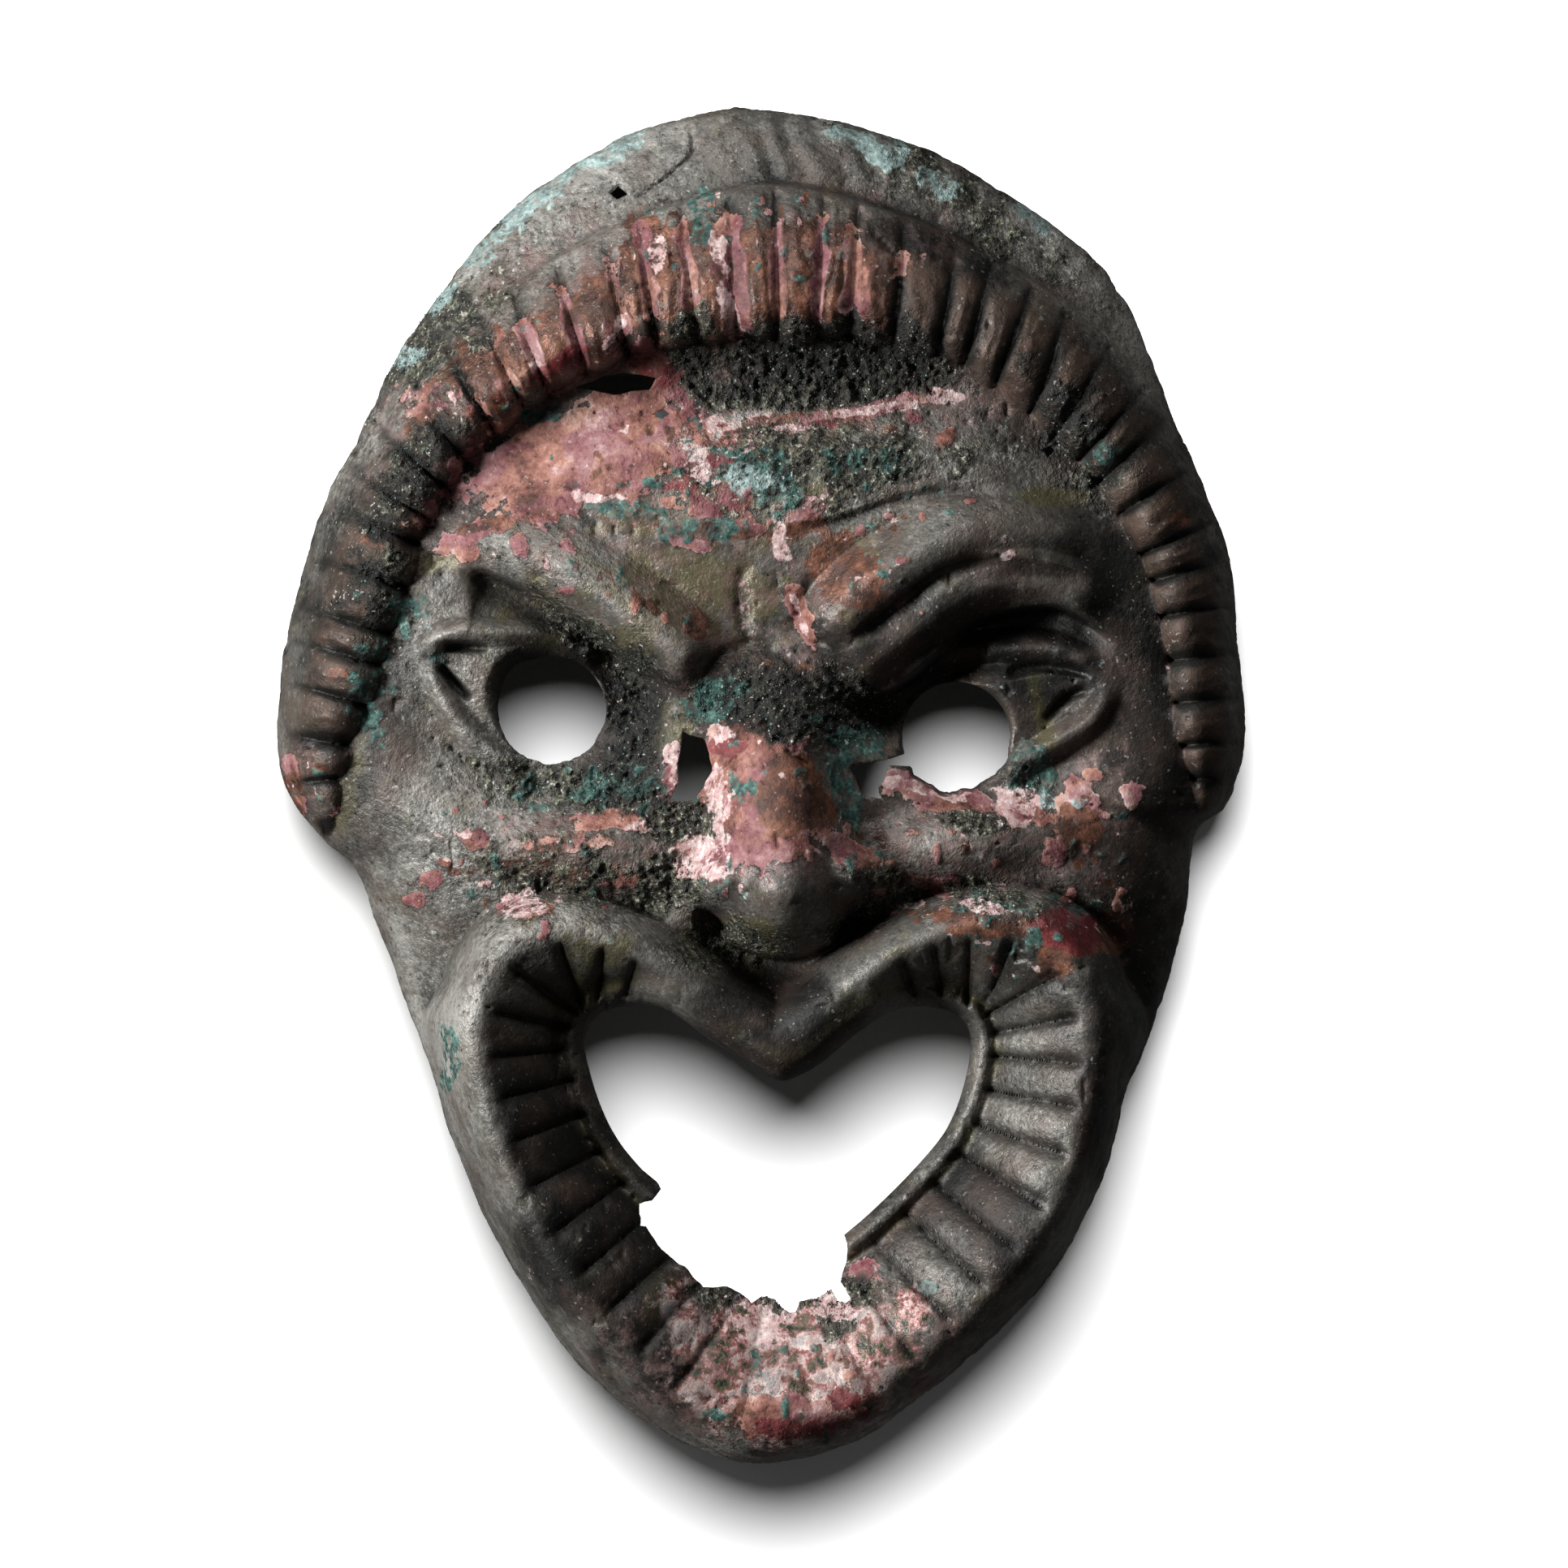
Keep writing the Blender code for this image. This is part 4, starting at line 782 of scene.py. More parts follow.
def eaten(x, y, z, much):
    # how far in the corroded flank stands, as a share of its distance from the middle
    wavy = rough(x + 0.8 * z, y - 0.6 * z, relief["eatenSize"], 5)
    return 1 - relief["eaten"] * (np.clip(1 + wavy, 0, 3) * much)[:, None]


def outerBody():
    count = maskShell["gridPoints"]
    angle, distance = discGrid(count)
    bend = 0.8
    late = (distance - bend) / (1 - bend)
    spread = np.where(distance < bend, distance, bend + (1 - bend) * (2 * late - late ** 2))
    radius = spread * outlineRadius(angle)
    x, y = (radius * np.cos(angle)).ravel(), (radius * np.sin(angle)).ravel()
    form, cuts = sculpt(x, y)
    fine = sum(ridge(x, y, points) for points in cracks.values())
    reach = np.clip(spread.ravel(), 0, 1)
    bare = form + cuts
    height = bare + fine + capStrands(x, y) + lockStrands(x, y)
    top = np.column_stack([x, y, height + corrosion(x, y, cuts, reach)])
    top[:, :2] *= eaten(x, y, bare, ease((reach - 0.86) / 0.12))
    turn = angle.ravel()[gridBorder(count)]
    rings = sideRings(turn, shoulder(turn), 0, maskShell["flankSteps"])
    for ring, down in zip(rings, maskShell["flankSteps"]):    # worn flanks, less and less down to the rim
        ring[:, :2] *= eaten(*ring.T, (1 - down) ** 0.5)
    rings.append(rings[-1] - [0, 0, maskShell["skirt"]])
    return closedBody("outer", top, rings, maskShell["outerFaces"])


tableStep = 3.0    # in shares, the mesh of the square grid that the face is looked up on
tableX = np.arange(-400, 401, tableStep)
tableY = np.arange(-540, 541, tableStep)


def faceTables():
    # the face's form and its cuts on a square grid
    x, y = np.meshgrid(tableX, tableY, indexing="ij")
    form, cuts = (part.reshape(x.shape) for part in sculpt(x.ravel(), y.ravel()))
    form[np.hypot(x, y) > outlineRadius(np.arctan2(y, x))] = 0
    return form, cuts


def softened(table, times):
    for _ in range(times):
        table = (table + sum(np.roll(table, k, a) for k in (1, -1) for a in (0, 1))) / 5
    return table


def coreHeights(form, cuts):
    # the hollow's roof: the face moved in by the wall, a little softened
    height = np.where(form > 0, form + 0.7 * cuts, 0)
    wall = maskShell["wall"] / share
    cells = int(wall / tableStep) + 1
    roof = height - wall
    for i in range(-cells, cells + 1):
        for j in range(-cells, cells + 1):
            aside = tableStep * np.hypot(i, j)
            if aside < wall:
                moved = np.roll(height, (i, j), (0, 1)) - np.sqrt(wall ** 2 - aside ** 2)
                roof = np.minimum(roof, moved)
    return np.minimum(roof, softened(roof, 4))


def sample(table, x, y):
    i = np.clip((x - tableX[0]) / tableStep, 0, tableX.size - 1.001)
    j = np.clip((y - tableY[0]) / tableStep, 0, tableY.size - 1.001)
    a, b = i.astype(int), j.astype(int)
    s, t = i - a, j - b
    low = table[a, b] * (1 - s) + table[a + 1, b] * s
    high = table[a, b + 1] * (1 - s) + table[a + 1, b + 1] * s
    return low * (1 - t) + high * t


def coreBody(form, cuts):
    count = maskShell["coreGridPoints"]
    angle, distance = discGrid(count)
    wall = maskShell["wall"] / share
    radius = distance * (outlineRadius(angle) - 1.2 * wall)
    x, y = (radius * np.cos(angle)).ravel(), (radius * np.sin(angle)).ravel()
    roof = sample(coreHeights(form, cuts), x, y) - 1.0 + 0.8 * rough(x, y, 14, 51)
    top = np.column_stack([x, y, roof])
    edge = gridBorder(count)
    turn = angle.ravel()[edge]
    rings = sideRings(turn, np.minimum(top[edge, 2], shoulder(turn)), wall, maskShell["coreSteps"])
    rings.append(rings[-1] - [0, 0, 2 * maskShell["skirt"]])
    return closedBody("hollow", top, rings, maskShell["coreFaces"])


def loft(name, rings, heights):
    # a closed upright body through rings of as many points each
    count = len(rings[0])
    levels = [np.column_stack([ring, np.full(count, height)]) for ring, height in zip(rings, heights)]
    start = np.arange(count)
    turned = np.roll(start, -1)
    faces = [start[::-1].tolist(), (start + count * (len(rings) - 1)).tolist()]
    for level in range(len(rings) - 1):
        low, high = level * count, (level + 1) * count
        faces += np.stack([start + low, turned + low, turned + high, start + high], 1).tolist()
    return link(name, meshOf(name, np.vstack(levels) * share, faces))


def gnawed(points, amount, seeds):
    # a line with finer, eaten edges: points added between, then moved a little
    dense = np.vstack([np.linspace(a, b, 7)[:-1] for a, b in zip(points[:-1], points[1:])])
    return dense + amount * np.column_stack([rough(*dense.T, 9, seed, layers=3) for seed in seeds])


def prism(name, points, low, high):
    flat = np.array(points, float)[:, :2]
    return loft(name, (flat, flat), (low, high))


def eyeCutter(side):
    # a round hole through the wall, flared and shifted a little towards the face, its lower edge eaten
    middle, drift = (np.array(v, float) for v in eyeHoles[side])
    form, _ = sculpt(middle[:1], middle[1:])
    wall = maskShell["wall"] / share
    radius, flare = maskShell["eyeHoleRadius"] / share, maskShell["eyeHoleFlare"] / share
    turns = np.linspace(0, 2 * np.pi, maskShell["eyeHolePoints"], endpoint=False)
    circle = np.column_stack([np.cos(turns), np.sin(turns)])
    worn = middle + circle * radius
    wear = 1 + maskShell["eyeHoleWear"] * rough(*worn.T, 8, 15) * ease((0.3 - circle[:, 1]) / 0.8)
    rings = [middle + drift * out + circle * (radius + flare * out) * wear[:, None] for out in (0, 0, 1, 3)]
    inner = form[0] - wall
    return loft("eyeHole", rings, (inner - 50, inner, inner + wall, inner + 3 * wall))


def mouthCutter():
    ring = smoothPath(openingLine, closed=True, pieces=6)[:-1]
    lower = np.array(brokenLip, float)
    start, end = (np.hypot(*(ring - lower[k]).T).argmin() for k in (0, -1))
    whole = np.vstack([ring[:start], gnawed(lower, 1.1, (25, 35)), ring[end + 1:]])
    return prism("mouth", whole, -maskShell["skirt"], maskShell["overTop"])


def lossCutter(name, points):
    closed = np.vstack([np.array(points, float), points[0]])
    return prism(name, gnawed(closed, 0.7, (5, 12)), 20, maskShell["overTop"])


def cut(target, cutter):
    # takes the cutter away from the target and returns the plain result
    taken = target.modifiers.new("Cut", "BOOLEAN")
    taken.operation = "DIFFERENCE"
    taken.solver = "MANIFOLD"
    taken.object = cutter
    left = baked(target, "bronzeMask")
    bpy.data.objects.remove(cutter)
    return left


def castShell(form, cuts):
    shell = outerBody()
    print("outer face:", len(shell.data.polygons), "faces", flush=True)
    floor = [(-600, -700), (600, -700), (600, 700), (-600, 700)]
    cutters = [prism("floor", floor, -3 * maskShell["skirt"], 0), coreBody(form, cuts), mouthCutter()]
    cutters += [eyeCutter(side) for side in eyeHoles]
    cutters += [lossCutter(name, points) for name, points in losses.items()]
    for cutter in cutters:
        shell = cut(shell, cutter)
    print("shell:", len(shell.data.polygons), "faces", flush=True)
    return shell


def corners(mesh):
    place = np.empty(len(mesh.vertices) * 3, dtype=np.float32)
    mesh.vertices.foreach_get("co", place)
    return place.reshape(-1, 3).astype(float)


def setAttribute(mesh, name, values):
    layer = mesh.attributes.new(name, "FLOAT", "POINT")
    layer.data.foreach_set("value", np.asarray(values, dtype=np.float32))


def dressShell(shell, form, cuts):
    # the corrosion and the painted light and shade as attributes that the material reads, and which side is the
    # hollow one
    x, y, z = (corners(shell.data) / share).T
    cutHere = sample(cuts, x, y)
    angle = np.arctan2(y, x)
    reach = np.hypot(x, y) / outlineRadius(angle)
    under = np.clip(shoulder(angle) - z, 0, None) * (reach > 0.9)    # keeps streaks off the flanks
    for name, field in patinaAndPaintedLight(x + 0.5 * under, y - 0.6 * under, cutHere).items():
        setAttribute(shell.data, name, field)
    wall = maskShell["wall"] / share
    low = ease((sample(form + cuts, x, y) - z - 0.35 * wall) / (0.5 * wall))
    fromAxis = np.hypot(x, y) * share
    inSide = ease(((rimRadius(angle) - 0.4 * wall) * share - fromAxis) / (0.2 * maskShell["wall"]))
    setAttribute(shell.data, "hollowSide", low * np.maximum(inSide, reach < 0.9))
    # painted shade: how deep a point lies in a cut, so that the material darkens the grooves
    setAttribute(shell.data, "grooved", np.clip(-cutHere / 8, 0, 1))
    across = placeOnRoll(x, y)[0]
    setAttribute(shell.data, "hair", ease((1.05 - across) / 0.2) * ease((0.6 + across) / 0.3))
    whole = form + cuts
    # painted shade: how far a point lies below its softened surroundings, so that the material darkens the
    # recesses
    setAttribute(shell.data, "sunken", sample(np.clip((softened(whole, 30) - whole) / 14, -1, 1), x, y))
    shell.data.shade_smooth()
    return shell


class Signal:
    # a socket of a material's value, on which sums add Math nodes
    def __init__(self, recipe, socket):
        self.recipe, self.socket = recipe, socket

    def sum(self, operation, *others):
        parts = dict(enumerate((self,) + others))
        return self.recipe.node("ShaderNodeMath", {"operation": operation}, parts)

    def __add__(self, other):
        return self.sum("ADD", other)

    def __sub__(self, other):
        return self.sum("SUBTRACT", other)

    def __mul__(self, other):
        return self.sum("MULTIPLY", other)

    def __rsub__(self, other):
        return self.recipe.node("ShaderNodeMath", {"operation": "SUBTRACT"}, {0: other, 1: self})

    __radd__ = __add__
    __rmul__ = __mul__

    def larger(self, other):
        return self.sum("MAXIMUM", other)

    def smaller(self, other):
        return self.sum("MINIMUM", other)

    def step(self, low, high):
        # nought below low and one above high, smooth between
        return self.recipe.node("ShaderNodeMapRange", {"interpolation_type": "SMOOTHSTEP"},
                                {"Value": self, "From Min": low, "From Max": high})


class Recipe:
    # a material and the few kinds of node that it is made of
    def __init__(self, name):
        self.material = bpy.data.materials.new(name)
        self.material.use_nodes = True
        self.tree = self.material.node_tree
        self.shader = self.tree.nodes["Principled BSDF"]
        self.place = self.node("ShaderNodeTexCoord", output="Object")

    def node(self, kind, settings=None, inputs=None, output=0):
        made = self.tree.nodes.new(kind)
        for name, value in (settings or {}).items():
            if name == "stops":
                self.setStops(made.color_ramp, value)
            else:
                setattr(made, name, value)
        for key, value in (inputs or {}).items():
            self.feed(made.inputs[key], value)
        return Signal(self, made.outputs[output])

    def setStops(self, ramp, stops):
        while len(ramp.elements) < len(stops):
            ramp.elements.new(0.5)
        for element, (position, colour) in zip(ramp.elements, stops):
            element.position = position
            element.color = (*colour, 1)

    def feed(self, socket, value):
        if isinstance(value, Signal):
            self.tree.links.new(value.socket, socket)
        elif isinstance(value, tuple) and len(value) == 3 and socket.type == "RGBA":
            socket.default_value = (*value, 1)
        else:
            socket.default_value = value

    def attribute(self, name):
        return self.node("ShaderNodeAttribute", {"attribute_name": name}, output="Fac")

    def noise(self, size, seed, detail=3.0, roughness=0.55):
        # from nought to one, with hills about one size apart
        return self.node("ShaderNodeTexNoise", {"noise_dimensions": "4D"}, {
            "Vector": self.place, "W": seed, "Scale": 1 / size, "Detail": detail, "Roughness": roughness})

    def colours(self, factor, stops):
        return self.node("ShaderNodeValToRGB", {"stops": stops}, {"Fac": factor})

    def mix(self, factor, under, over):
        inputs = {0: factor, 6: under, 7: over}
        return self.node("ShaderNodeMix", {"data_type": "RGBA"}, inputs, output=2)

    def bump(self, height, distance):
        return self.node("ShaderNodeBump", {}, {"Strength": 1.0, "Distance": distance, "Height": height})

    def finish(self, sockets):
        for name, value in sockets.items():
            self.feed(self.shader.inputs[name], value)
        return self.material


bronzeFinish = {
    "metal": [(0.0, (0.005, 0.005, 0.0045)), (0.3, (0.022, 0.021, 0.019)), (0.65, (0.085, 0.081, 0.072)),
              (1.0, (0.225, 0.218, 0.200))],
    "umber": (0.070, 0.046, 0.036),
    "hairBrown": (0.058, 0.036, 0.026),
    "marble": [(0.0, (0.012, 0.014, 0.008)), (0.18, (0.060, 0.058, 0.030)), (0.30, (0.130, 0.040, 0.042)),
               (0.42, (0.270, 0.130, 0.125)), (0.58, (0.420, 0.360, 0.320)), (0.78, (0.300, 0.245, 0.240)),
               (1.0, (0.220, 0.235, 0.235))],
    "rose": [(0.0, (0.055, 0.012, 0.015)), (0.25, (0.120, 0.038, 0.044)), (0.5, (0.180, 0.080, 0.083)),
             (0.75, (0.240, 0.138, 0.134)), (1.0, (0.430, 0.320, 0.310))],
    "salmon": [(0.0, (0.045, 0.016, 0.011)), (0.3, (0.130, 0.050, 0.037)), (0.6, (0.230, 0.108, 0.082)),
               (1.0, (0.380, 0.245, 0.200))],
    "blush": [(0.0, (0.080, 0.036, 0.032)), (0.5, (0.140, 0.088, 0.080)), (1.0, (0.230, 0.165, 0.155))],
    "rust": [(0.0, (0.018, 0.009, 0.006)), (0.4, (0.052, 0.023, 0.015)), (0.7, (0.120, 0.048, 0.027)),
             (1.0, (0.240, 0.110, 0.080))],
    "crimson": [(0.0, (0.030, 0.009, 0.009)), (0.6, (0.110, 0.014, 0.018)), (1.0, (0.190, 0.045, 0.045))],
    "verdigris": [(0.0, (0.004, 0.012, 0.010)), (0.45, (0.022, 0.058, 0.050)), (0.8, (0.080, 0.150, 0.128)),
                  (1.0, (0.260, 0.340, 0.300))],
    "turquoise": [(0.0, (0.060, 0.090, 0.084)), (0.5, (0.170, 0.230, 0.220)), (1.0, (0.360, 0.450, 0.440))],
    "crust": [(0.0, (0.002, 0.002, 0.002)), (0.35, (0.011, 0.011, 0.008)), (0.55, (0.036, 0.035, 0.024)),
              (0.75, (0.085, 0.090, 0.062)), (1.0, (0.330, 0.315, 0.260))],
    "chalk": [(0.0, (0.230, 0.110, 0.105)), (0.5, (0.340, 0.230, 0.222)), (1.0, (0.520, 0.450, 0.430))],
    # the pit colour is also the painted shade in the grooves
    "pitAndCreaseShade": (0.005, 0.005, 0.004),
    "speckAndGlint": (0.330, 0.320, 0.300),
    "olive": (0.075, 0.066, 0.028),
    "hollow": (0.016, 0.017, 0.014),
    "bumpHeight": 0.00050,
}


# The noises in the bronze: size in metres, seed, detail and, where it isn't the usual, roughness.
bronzeNoises = {
    "fine": (0.0005, 1.0, 2.0), "grit": (0.0011, 2.0, 3.0, 0.65), "crumb": (0.0024, 7.0, 4.0, 0.7),
    "cloud": (0.012, 3.0, 4.0), "mottle": (0.0045, 4.0, 4.0, 0.6), "drift": (0.009, 6.0, 3.0),
    "speckAndGlint": (0.0008, 5.0, 1.0)}

# How softly each kind of corrosion ends.
softEdges = {
    "crust": 0.22, "rose": 0.05, "rust": 0.10, "verdigris": 0.12, "turquoise": 0.15, "chalk": 0.10,
    "olive": 0.4, "crimson": 0.12, "blush": 0.5, "marble": 0.3}
plainGloss = 0.3    # specular level of the bronze and its grains


def bronze():
    r = Recipe("patinated bronze")
    fine, grit, crumb, cloud, mottle, drift, speckAndGlint = (r.noise(*values) for values in bronzeNoises.values())
    edge = (crumb - 0.5) * 0.9 + (grit - 0.5) * 0.6 + (fine - 0.5) * 0.3

    def area(name):
        return (r.attribute(name) + edge).step(-softEdges[name], softEdges[name])

    def rimOf(name):
        # the thin dark line round a flake
        field = r.attribute(name) + edge
        return field.step(-0.14, -0.04) * (1 - field.step(-0.03, 0.07))

    crust, rose, rust, verdigris, turquoise, chalk, olive, crimson, blush, marble = map(area, softEdges)
    # pale and dark: lighter and darker metal, partly painted light and painted shade
    pale, dark = r.attribute("pale").step(-0.6, 0.7), r.attribute("dark").step(-0.6, 0.7)
    hair = r.attribute("hair")
    grainy = (r.attribute("crust").step(-0.7, 0.4) + 0.3 * pale).smaller(1.0)
    # the recesses are darkened in the tone below as painted shade
    sunken = r.attribute("sunken")

    tone = ((cloud - 0.5) * 0.5 + (mottle - 0.5) * 0.5 + (grit - 0.5) * (0.6 + 1.3 * grainy)
            + (fine - 0.5) * 0.4 + 0.46 - 0.22 * sunken + 0.26 * pale - 0.55 * dark)
    colour = r.colours(tone, bronzeFinish["metal"])
    colour = r.mix(drift.step(0.42, 0.75) * 0.6, colour, bronzeFinish["umber"])
    colour = r.mix(hair * (0.35 + 0.5 * mottle.step(0.4, 0.6)), colour, bronzeFinish["hairBrown"])
    colour = r.mix(olive * (0.7 - 0.5 * dark), colour, bronzeFinish["olive"])
    marbleTone = ((mottle - 0.5) * 3.0 + (crumb - 0.5) * 1.7 + (grit - 0.5) * 0.6 + (drift - 0.5) * 1.2
                  + 0.42)
    colour = r.mix(marble, colour, r.colours(marbleTone, bronzeFinish["marble"]))
    blushTint = r.colours(mottle * 2.4 - 0.7, bronzeFinish["blush"])
    colour = r.mix(blush * crumb.step(0.38, 0.62) * 0.7, colour, blushTint)
    colour = r.mix(rimOf("rose") * 0.7, colour, bronzeFinish["pitAndCreaseShade"])
    margin = 1 - (r.attribute("rose") + edge).step(0.02, 0.22)    # flakes are paler along their edges
    roseTone = (drift - 0.5) * 1.5 + (mottle - 0.5) * 1.7 + (grit - 0.5) * 1.0 + 0.40 + 0.18 * margin
    roseHue = ((cloud - 0.5) * 1.6 + (crumb - 0.5) * 0.8 + 0.5).step(0.40, 0.62)
    pink, salmon = (r.colours(roseTone, bronzeFinish[name]) for name in ("rose", "salmon"))
    colour = r.mix(rose, colour, r.mix(roseHue, pink, salmon))
    rustTone = (mottle - 0.5) * 1.8 + (crumb - 0.5) * 1.0 + (grit - 0.5) * 0.8 + 0.45
    colour = r.mix(rust * 0.95, colour, r.colours(rustTone, bronzeFinish["rust"]))
    crimsonTone = (mottle - 0.5) * 2.0 + (grit - 0.5) + 0.5
    colour = r.mix(crimson * 0.85, colour, r.colours(crimsonTone, bronzeFinish["crimson"]))
    # the crust's tone follows the bump's height: partly its own mixed colours, partly painted light on the
    # lumps and painted shade between them
    crustTone = (grit - 0.5) * 2.2 + (fine - 0.5) * 0.8 + (crumb - 0.5) * 1.4 + 0.46 - 0.30 * dark
    colour = r.mix(crust * 0.95, colour, r.colours(crustTone, bronzeFinish["crust"]))
    greenTone = (grit - 0.5) * 2.0 + (mottle - 0.5) * 1.2 + 0.42
    for kind, name, start, end, lift in ((verdigris, "verdigris", 0.42, 0.54, 0.0),
                                         (turquoise, "turquoise", 0.38, 0.52, 0.0),
                                         (chalk, "chalk", 0.42, 0.52, 0.1)):
        colour = r.mix(kind * crumb.step(start, end), colour, r.colours(greenTone + lift, bronzeFinish[name]))
    pits = (0.5 * fine.step(0.33, 0.26) + grit.step(0.36, 0.29)).smaller(1.0) * (0.32 + 0.68 * grainy)
    colour = r.mix(pits, colour, bronzeFinish["pitAndCreaseShade"])
    # pale specks, partly the crust's own light grains and partly painted glints
    colour = r.mix(speckAndGlint.step(0.66, 0.72) * (0.30 + 0.65 * grainy), colour, bronzeFinish["speckAndGlint"])
    # painted shade: the grooves between the locks, the flutes and the cut lines darkened to the pit colour
    groove = r.attribute("grooved").step(0.06, 0.60) * (1 - 0.8 * rose) * (0.60 + 0.35 * hair)
    colour = r.mix(groove, colour, bronzeFinish["pitAndCreaseShade"])
    colour = r.mix(r.attribute("hollowSide"), colour, bronzeFinish["hollow"])

    coloured = rose.larger(verdigris).larger(turquoise).larger(chalk)
    roughness = 0.44 + 0.20 * (mottle - 0.5) + 0.22 * coloured + 0.12 * grainy + 0.14 * dark
    height = ((fine - 0.5) * (0.15 + 0.45 * grainy) + (grit - 0.5) * (0.4 + 1.8 * grainy)
              + (crumb - 0.5) * (0.3 + 2.2 * crust) + (mottle - 0.5) * 0.5 - pits * 0.5)
    metallic = 0.25 * (1 - coloured) * (1 - crust)
    return r.finish({"Base Color": colour, "Roughness": roughness, "Metallic": metallic,
                     "Specular IOR Level": plainGloss, "Normal": r.bump(height, bronzeFinish["bumpHeight"])})


# The grains that stand on the crust: how many to a square metre, and their radii in metres.
crustGrains = {
    "density": 1700000.0,
    "smallest": 0.00008,
    "largest": 0.00028,
    "seed": 11,
    "flattest": (0.6, 0.6, 0.45),    # a grain's sides as parts of its radius, from and to
    "fullest": (1.3, 1.1, 0.9),
    "turn": (6.28, 6.28, 6.28),      # the most that a grain is turned, in radians
}


def strewTree(name):
    # points on the faces by the density attribute, a small stone on each, made real
    tree = bpy.data.node_groups.new(name, "GeometryNodeTree")
    tree.interface.new_socket("Geometry", in_out="INPUT", socket_type="NodeSocketGeometry")
    for title, kind in (("Density", "Float"), ("Smallest", "Float"), ("Largest", "Float"), ("Seed", "Int"),
                        ("Material", "Material")):
        tree.interface.new_socket(title, in_out="INPUT", socket_type="NodeSocket" + kind)
    tree.interface.new_socket("Geometry", in_out="OUTPUT", socket_type="NodeSocketGeometry")

    def add(kind, settings, inputs):
        # a node with its settings, then the values or links of its sockets
        made = tree.nodes.new(kind)
        for title, value in settings.items():
            setattr(made, title, value)
        for key, value in inputs.items():
            if isinstance(value, bpy.types.NodeSocket):
                tree.links.new(value, made.inputs[key])
            else:
                made.inputs[key].default_value = value
        return made.outputs

    given = add("NodeGroupInput", {}, {})
    seed = given["Seed"]
    where = add("GeometryNodeInputNamedAttribute", {"data_type": "FLOAT"}, {"Name": "strewn"})
    much = add("ShaderNodeMath", {"operation": "MULTIPLY"}, {0: where["Attribute"], 1: given["Density"]})
    points = add("GeometryNodeDistributePointsOnFaces", {},
                 {"Mesh": given["Geometry"], "Density": much[0], "Seed": seed})
    stone = add("GeometryNodeMeshIcoSphere", {}, {"Radius": 1.0, "Subdivisions": 1})
    turn = add("FunctionNodeRandomValue", {"data_type": "FLOAT_VECTOR"},
               {"Max": crustGrains["turn"], "Seed": seed})
    big = add("FunctionNodeRandomValue", {"data_type": "FLOAT"},
              {2: given["Smallest"], 3: given["Largest"], "Seed": seed})
    uneven = add("FunctionNodeRandomValue", {"data_type": "FLOAT_VECTOR"},
                 {"Min": crustGrains["flattest"], "Max": crustGrains["fullest"]})
    shape = add("ShaderNodeVectorMath", {"operation": "SCALE"}, {0: uneven["Value"], "Scale": big[1]})
    put = add("GeometryNodeInstanceOnPoints", {},
              {"Points": points["Points"], "Instance": stone["Mesh"], "Rotation": turn["Value"],
               "Scale": shape["Vector"]})
    tint = add("FunctionNodeRandomValue", {"data_type": "FLOAT"}, {})
    keep = add("GeometryNodeStoreNamedAttribute", {"data_type": "FLOAT", "domain": "INSTANCE"},
               {"Name": "tint", "Geometry": put["Instances"], "Value": tint[1]})
    real = add("GeometryNodeRealizeInstances", {}, {"Geometry": keep["Geometry"]})
    paint = add("GeometryNodeSetMaterial", {}, {"Geometry": real["Geometry"], "Material": given["Material"]})
    add("NodeGroupOutput", {}, {"Geometry": paint["Geometry"]})
    return tree


def grainFinish():
    r = Recipe("crust grain")
    tint = r.attribute("tint")
    fine = r.noise(0.0005, 8.0, 2.0)
    colour = r.colours(tint * 0.9 + 0.2 * (fine - 0.5), [
        (0.0, (0.006, 0.006, 0.005)), (0.55, (0.028, 0.029, 0.022)), (0.74, (0.07, 0.075, 0.06)),
        (0.82, (0.05, 0.13, 0.11)), (0.92, (0.24, 0.24, 0.20)), (1.0, (0.52, 0.49, 0.43))])
    return r.finish({"Base Color": colour, "Roughness": 0.5 + 0.2 * fine, "Specular IOR Level": plainGloss,
                     "Normal": r.bump(fine, 0.0001)})


def strewGrains(shell):
    # only the face side's crust takes grains; the copy's attribute says how thickly
    ground = link("ground", shell.data.copy())
    x, y, z = (corners(ground.data) / share).T
    fields = patinaAndPaintedLight(x, y, np.zeros(x.shape))
    hidden = np.empty(len(ground.data.vertices), dtype=np.float32)
    ground.data.attributes["hollowSide"].data.foreach_get("value", hidden)
    thick = ease((fields["crust"] - 0.05) / 0.6) * (hidden < 0.02) * (z > 40)
    thick = thick * (0.35 + 0.65 * ease((lumps(x, y, 6, 90) + 0.3) / 0.8))
    setAttribute(ground.data, "strewn", thick)
    strew = ground.modifiers.new("Strew", "NODES")
    strew.node_group = strewTree("strewn grains")
    values = {**crustGrains, "material": grainFinish()}
    for item in strew.node_group.interface.items_tree:
        if item.in_out == "INPUT" and item.name.lower() in values:
            strew[item.identifier] = values[item.name.lower()]
    grains = baked(ground, "crustGrains")
    grains.data.shade_smooth()
    return grains


faceForm, faceCuts = faceTables()
mask = dressShell(castShell(faceForm, faceCuts), faceForm, faceCuts)
mask.data.materials.clear()
mask.data.materials.append(bronze())
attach(mask, "root")
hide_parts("mask")
print("mask dressed", flush=True)

grains = strewGrains(mask)
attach(grains, "root")
print("grains:", len(grains.data.polygons), "faces", flush=True)


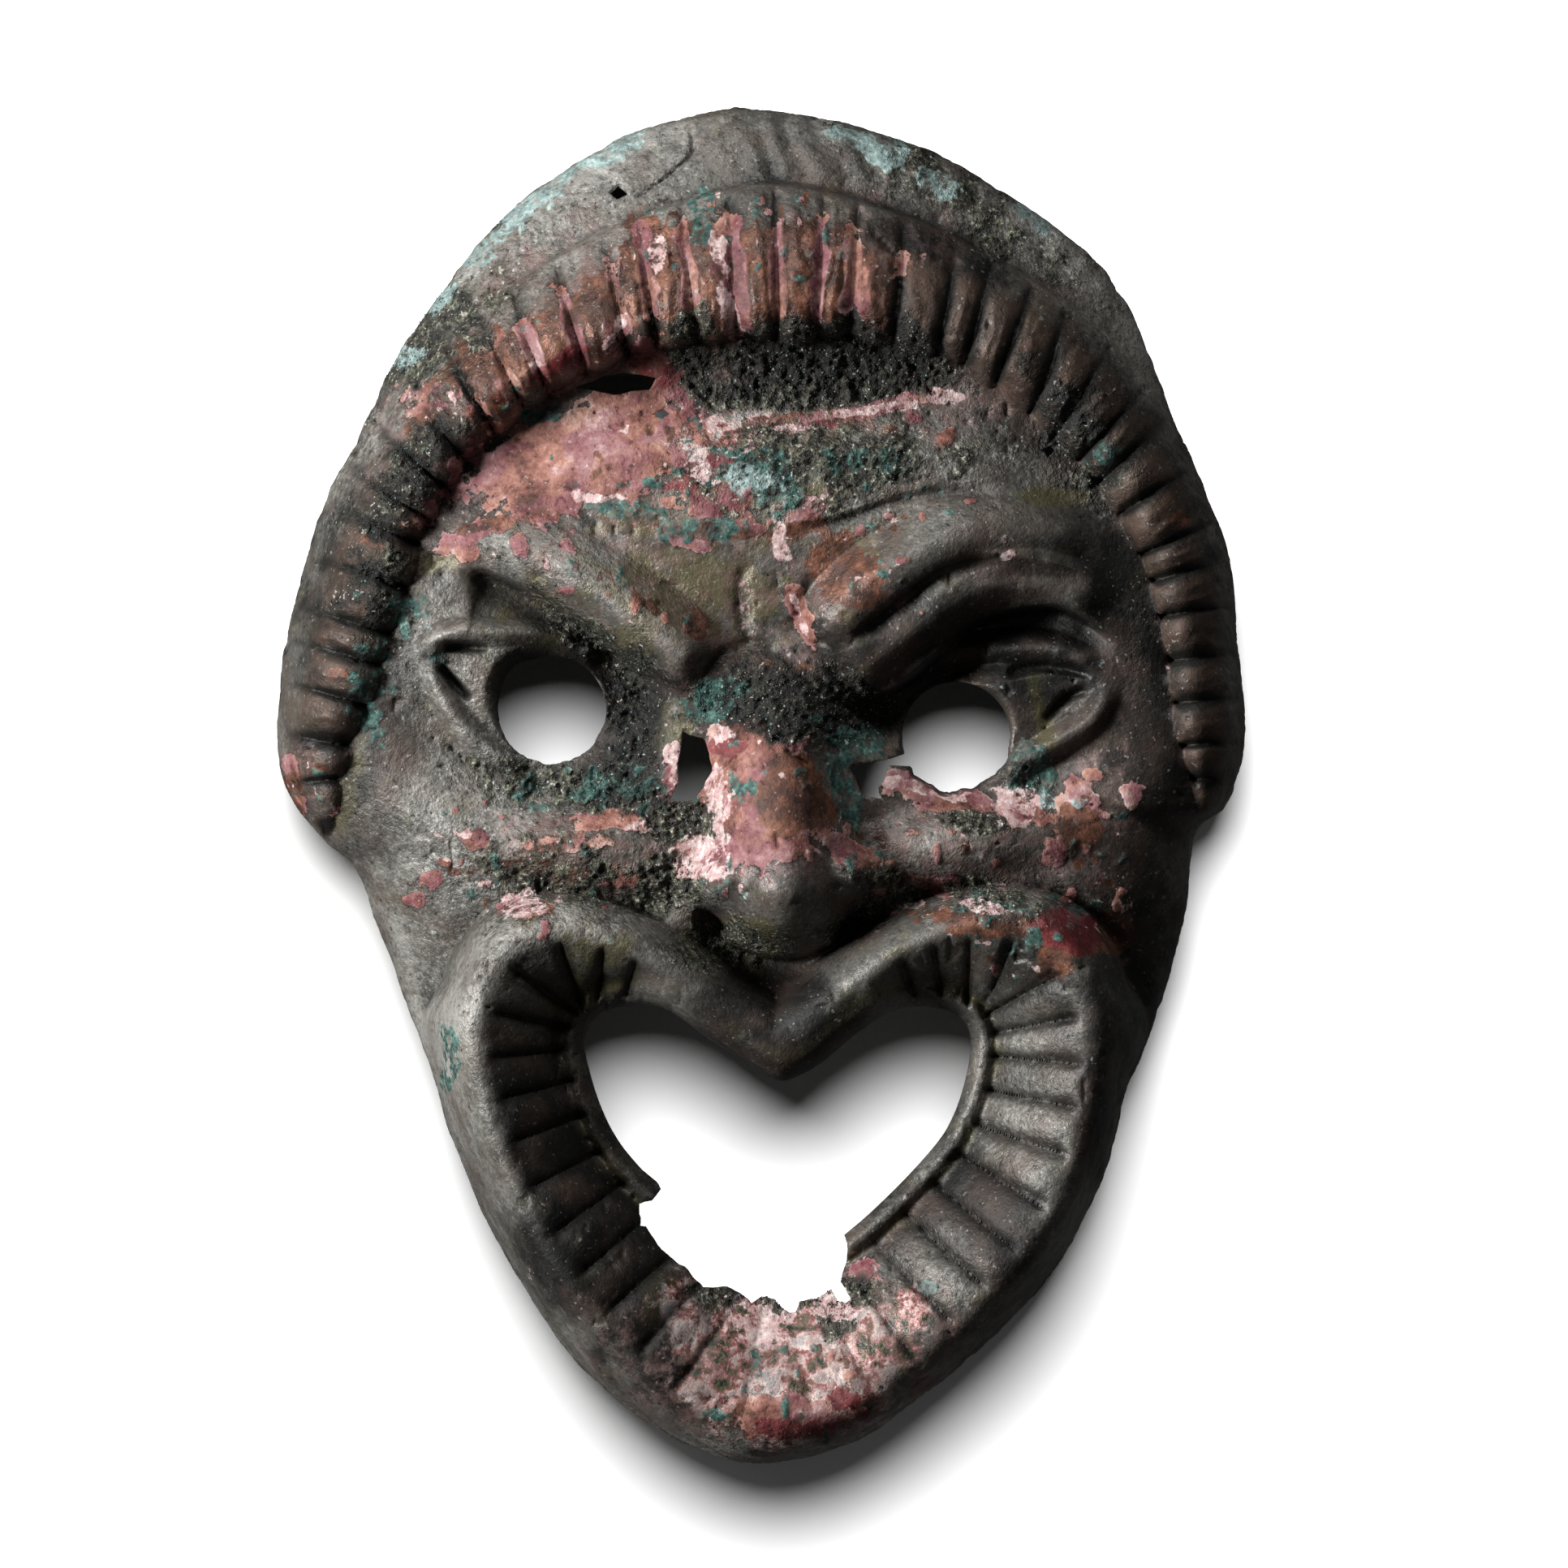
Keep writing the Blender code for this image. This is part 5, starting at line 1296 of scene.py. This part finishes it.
studio = {
    "floorHalfWidth": 3.0,
    "floorDrop": 0.0003,    # how far the floor lies below the rim
    "floorColour": (0.86, 0.86, 0.86),
    "worldStrength": 0.065,
    "lamps": {    # degrees round from +X and up, distance, size and power
        "left": (170, 34, 2.0, 0.7, 96.0),
        "top": (100, 36, 2.0, 0.7, 28.0),
    },
    "floorLamp": (98, 69.5, 2.5, 1.3, 150.0),
    "cameraHeight": 4.0,
    "frameWidth": 0.2768,
    "sharpPlane": 0.022,
    "frameMiddle": (0.00408, 0.0002),
    "sensorWidth": 36,
}


def softbox(name, turn, rise, distance, size, power):
    lamp = bpy.data.lights.new(name, "AREA")
    lamp.shape = "DISK"
    lamp.size = size
    lamp.energy = power
    made = link(name, lamp)
    turn, rise = math.radians(turn), math.radians(rise)
    made.location = (distance * math.cos(rise) * math.cos(turn), distance * math.cos(rise) * math.sin(turn),
                     distance * math.sin(rise))
    made.rotation_euler = (-made.location).to_track_quat("-Z", "Y").to_euler()
    return made


def setStudio():
    half = studio["floorHalfWidth"]
    square = [(-half, -half, 0), (half, -half, 0), (half, half, 0), (-half, half, 0)]
    ground = bpy.data.meshes.new("floor")
    ground.from_pydata(square, [], [(0, 1, 2, 3)])
    floor = link("floor", ground)
    floor.location.z = -studio["floorDrop"]
    white = Recipe("white floor")
    floor.data.materials.append(white.finish({"Base Color": studio["floorColour"], "Roughness": 0.9}))
    floor.visible_diffuse = False    # the flanks of the mask stay as dark as beside a black card
    floor.visible_glossy = False
    world = bpy.data.worlds.new("studio")
    world.use_nodes = True
    sky = world.node_tree.nodes["Background"].inputs
    sky["Strength"].default_value = studio["worldStrength"]
    sky["Color"].default_value = (1, 1, 1, 1)
    bpy.context.scene.world = world
    onFloor = bpy.data.collections.new("floor alone")
    onFloor.objects.link(floor)
    offFloor = bpy.data.collections.new("all but the floor")
    offFloor.objects.link(floor)
    offFloor.collection_objects[0].light_linking.link_state = "EXCLUDE"
    for name, place in studio["lamps"].items():
        softbox(name, *place).light_linking.receiver_collection = offFloor
    softbox("floor light", *studio["floorLamp"]).light_linking.receiver_collection = onFloor


def setCamera():
    lens = bpy.data.cameras.new("camera")
    lens.sensor_width = studio["sensorWidth"]
    distance = studio["cameraHeight"] - studio["sharpPlane"]
    lens.lens = studio["sensorWidth"] * distance / studio["frameWidth"]
    lens.clip_end = 50
    camera = link("camera", lens)
    camera.location = (*studio["frameMiddle"], studio["cameraHeight"])
    bpy.context.scene.camera = camera


setStudio()
setCamera()
bpy.context.scene.view_settings.view_transform = "Standard"
print("floor, lights and camera set", flush=True)
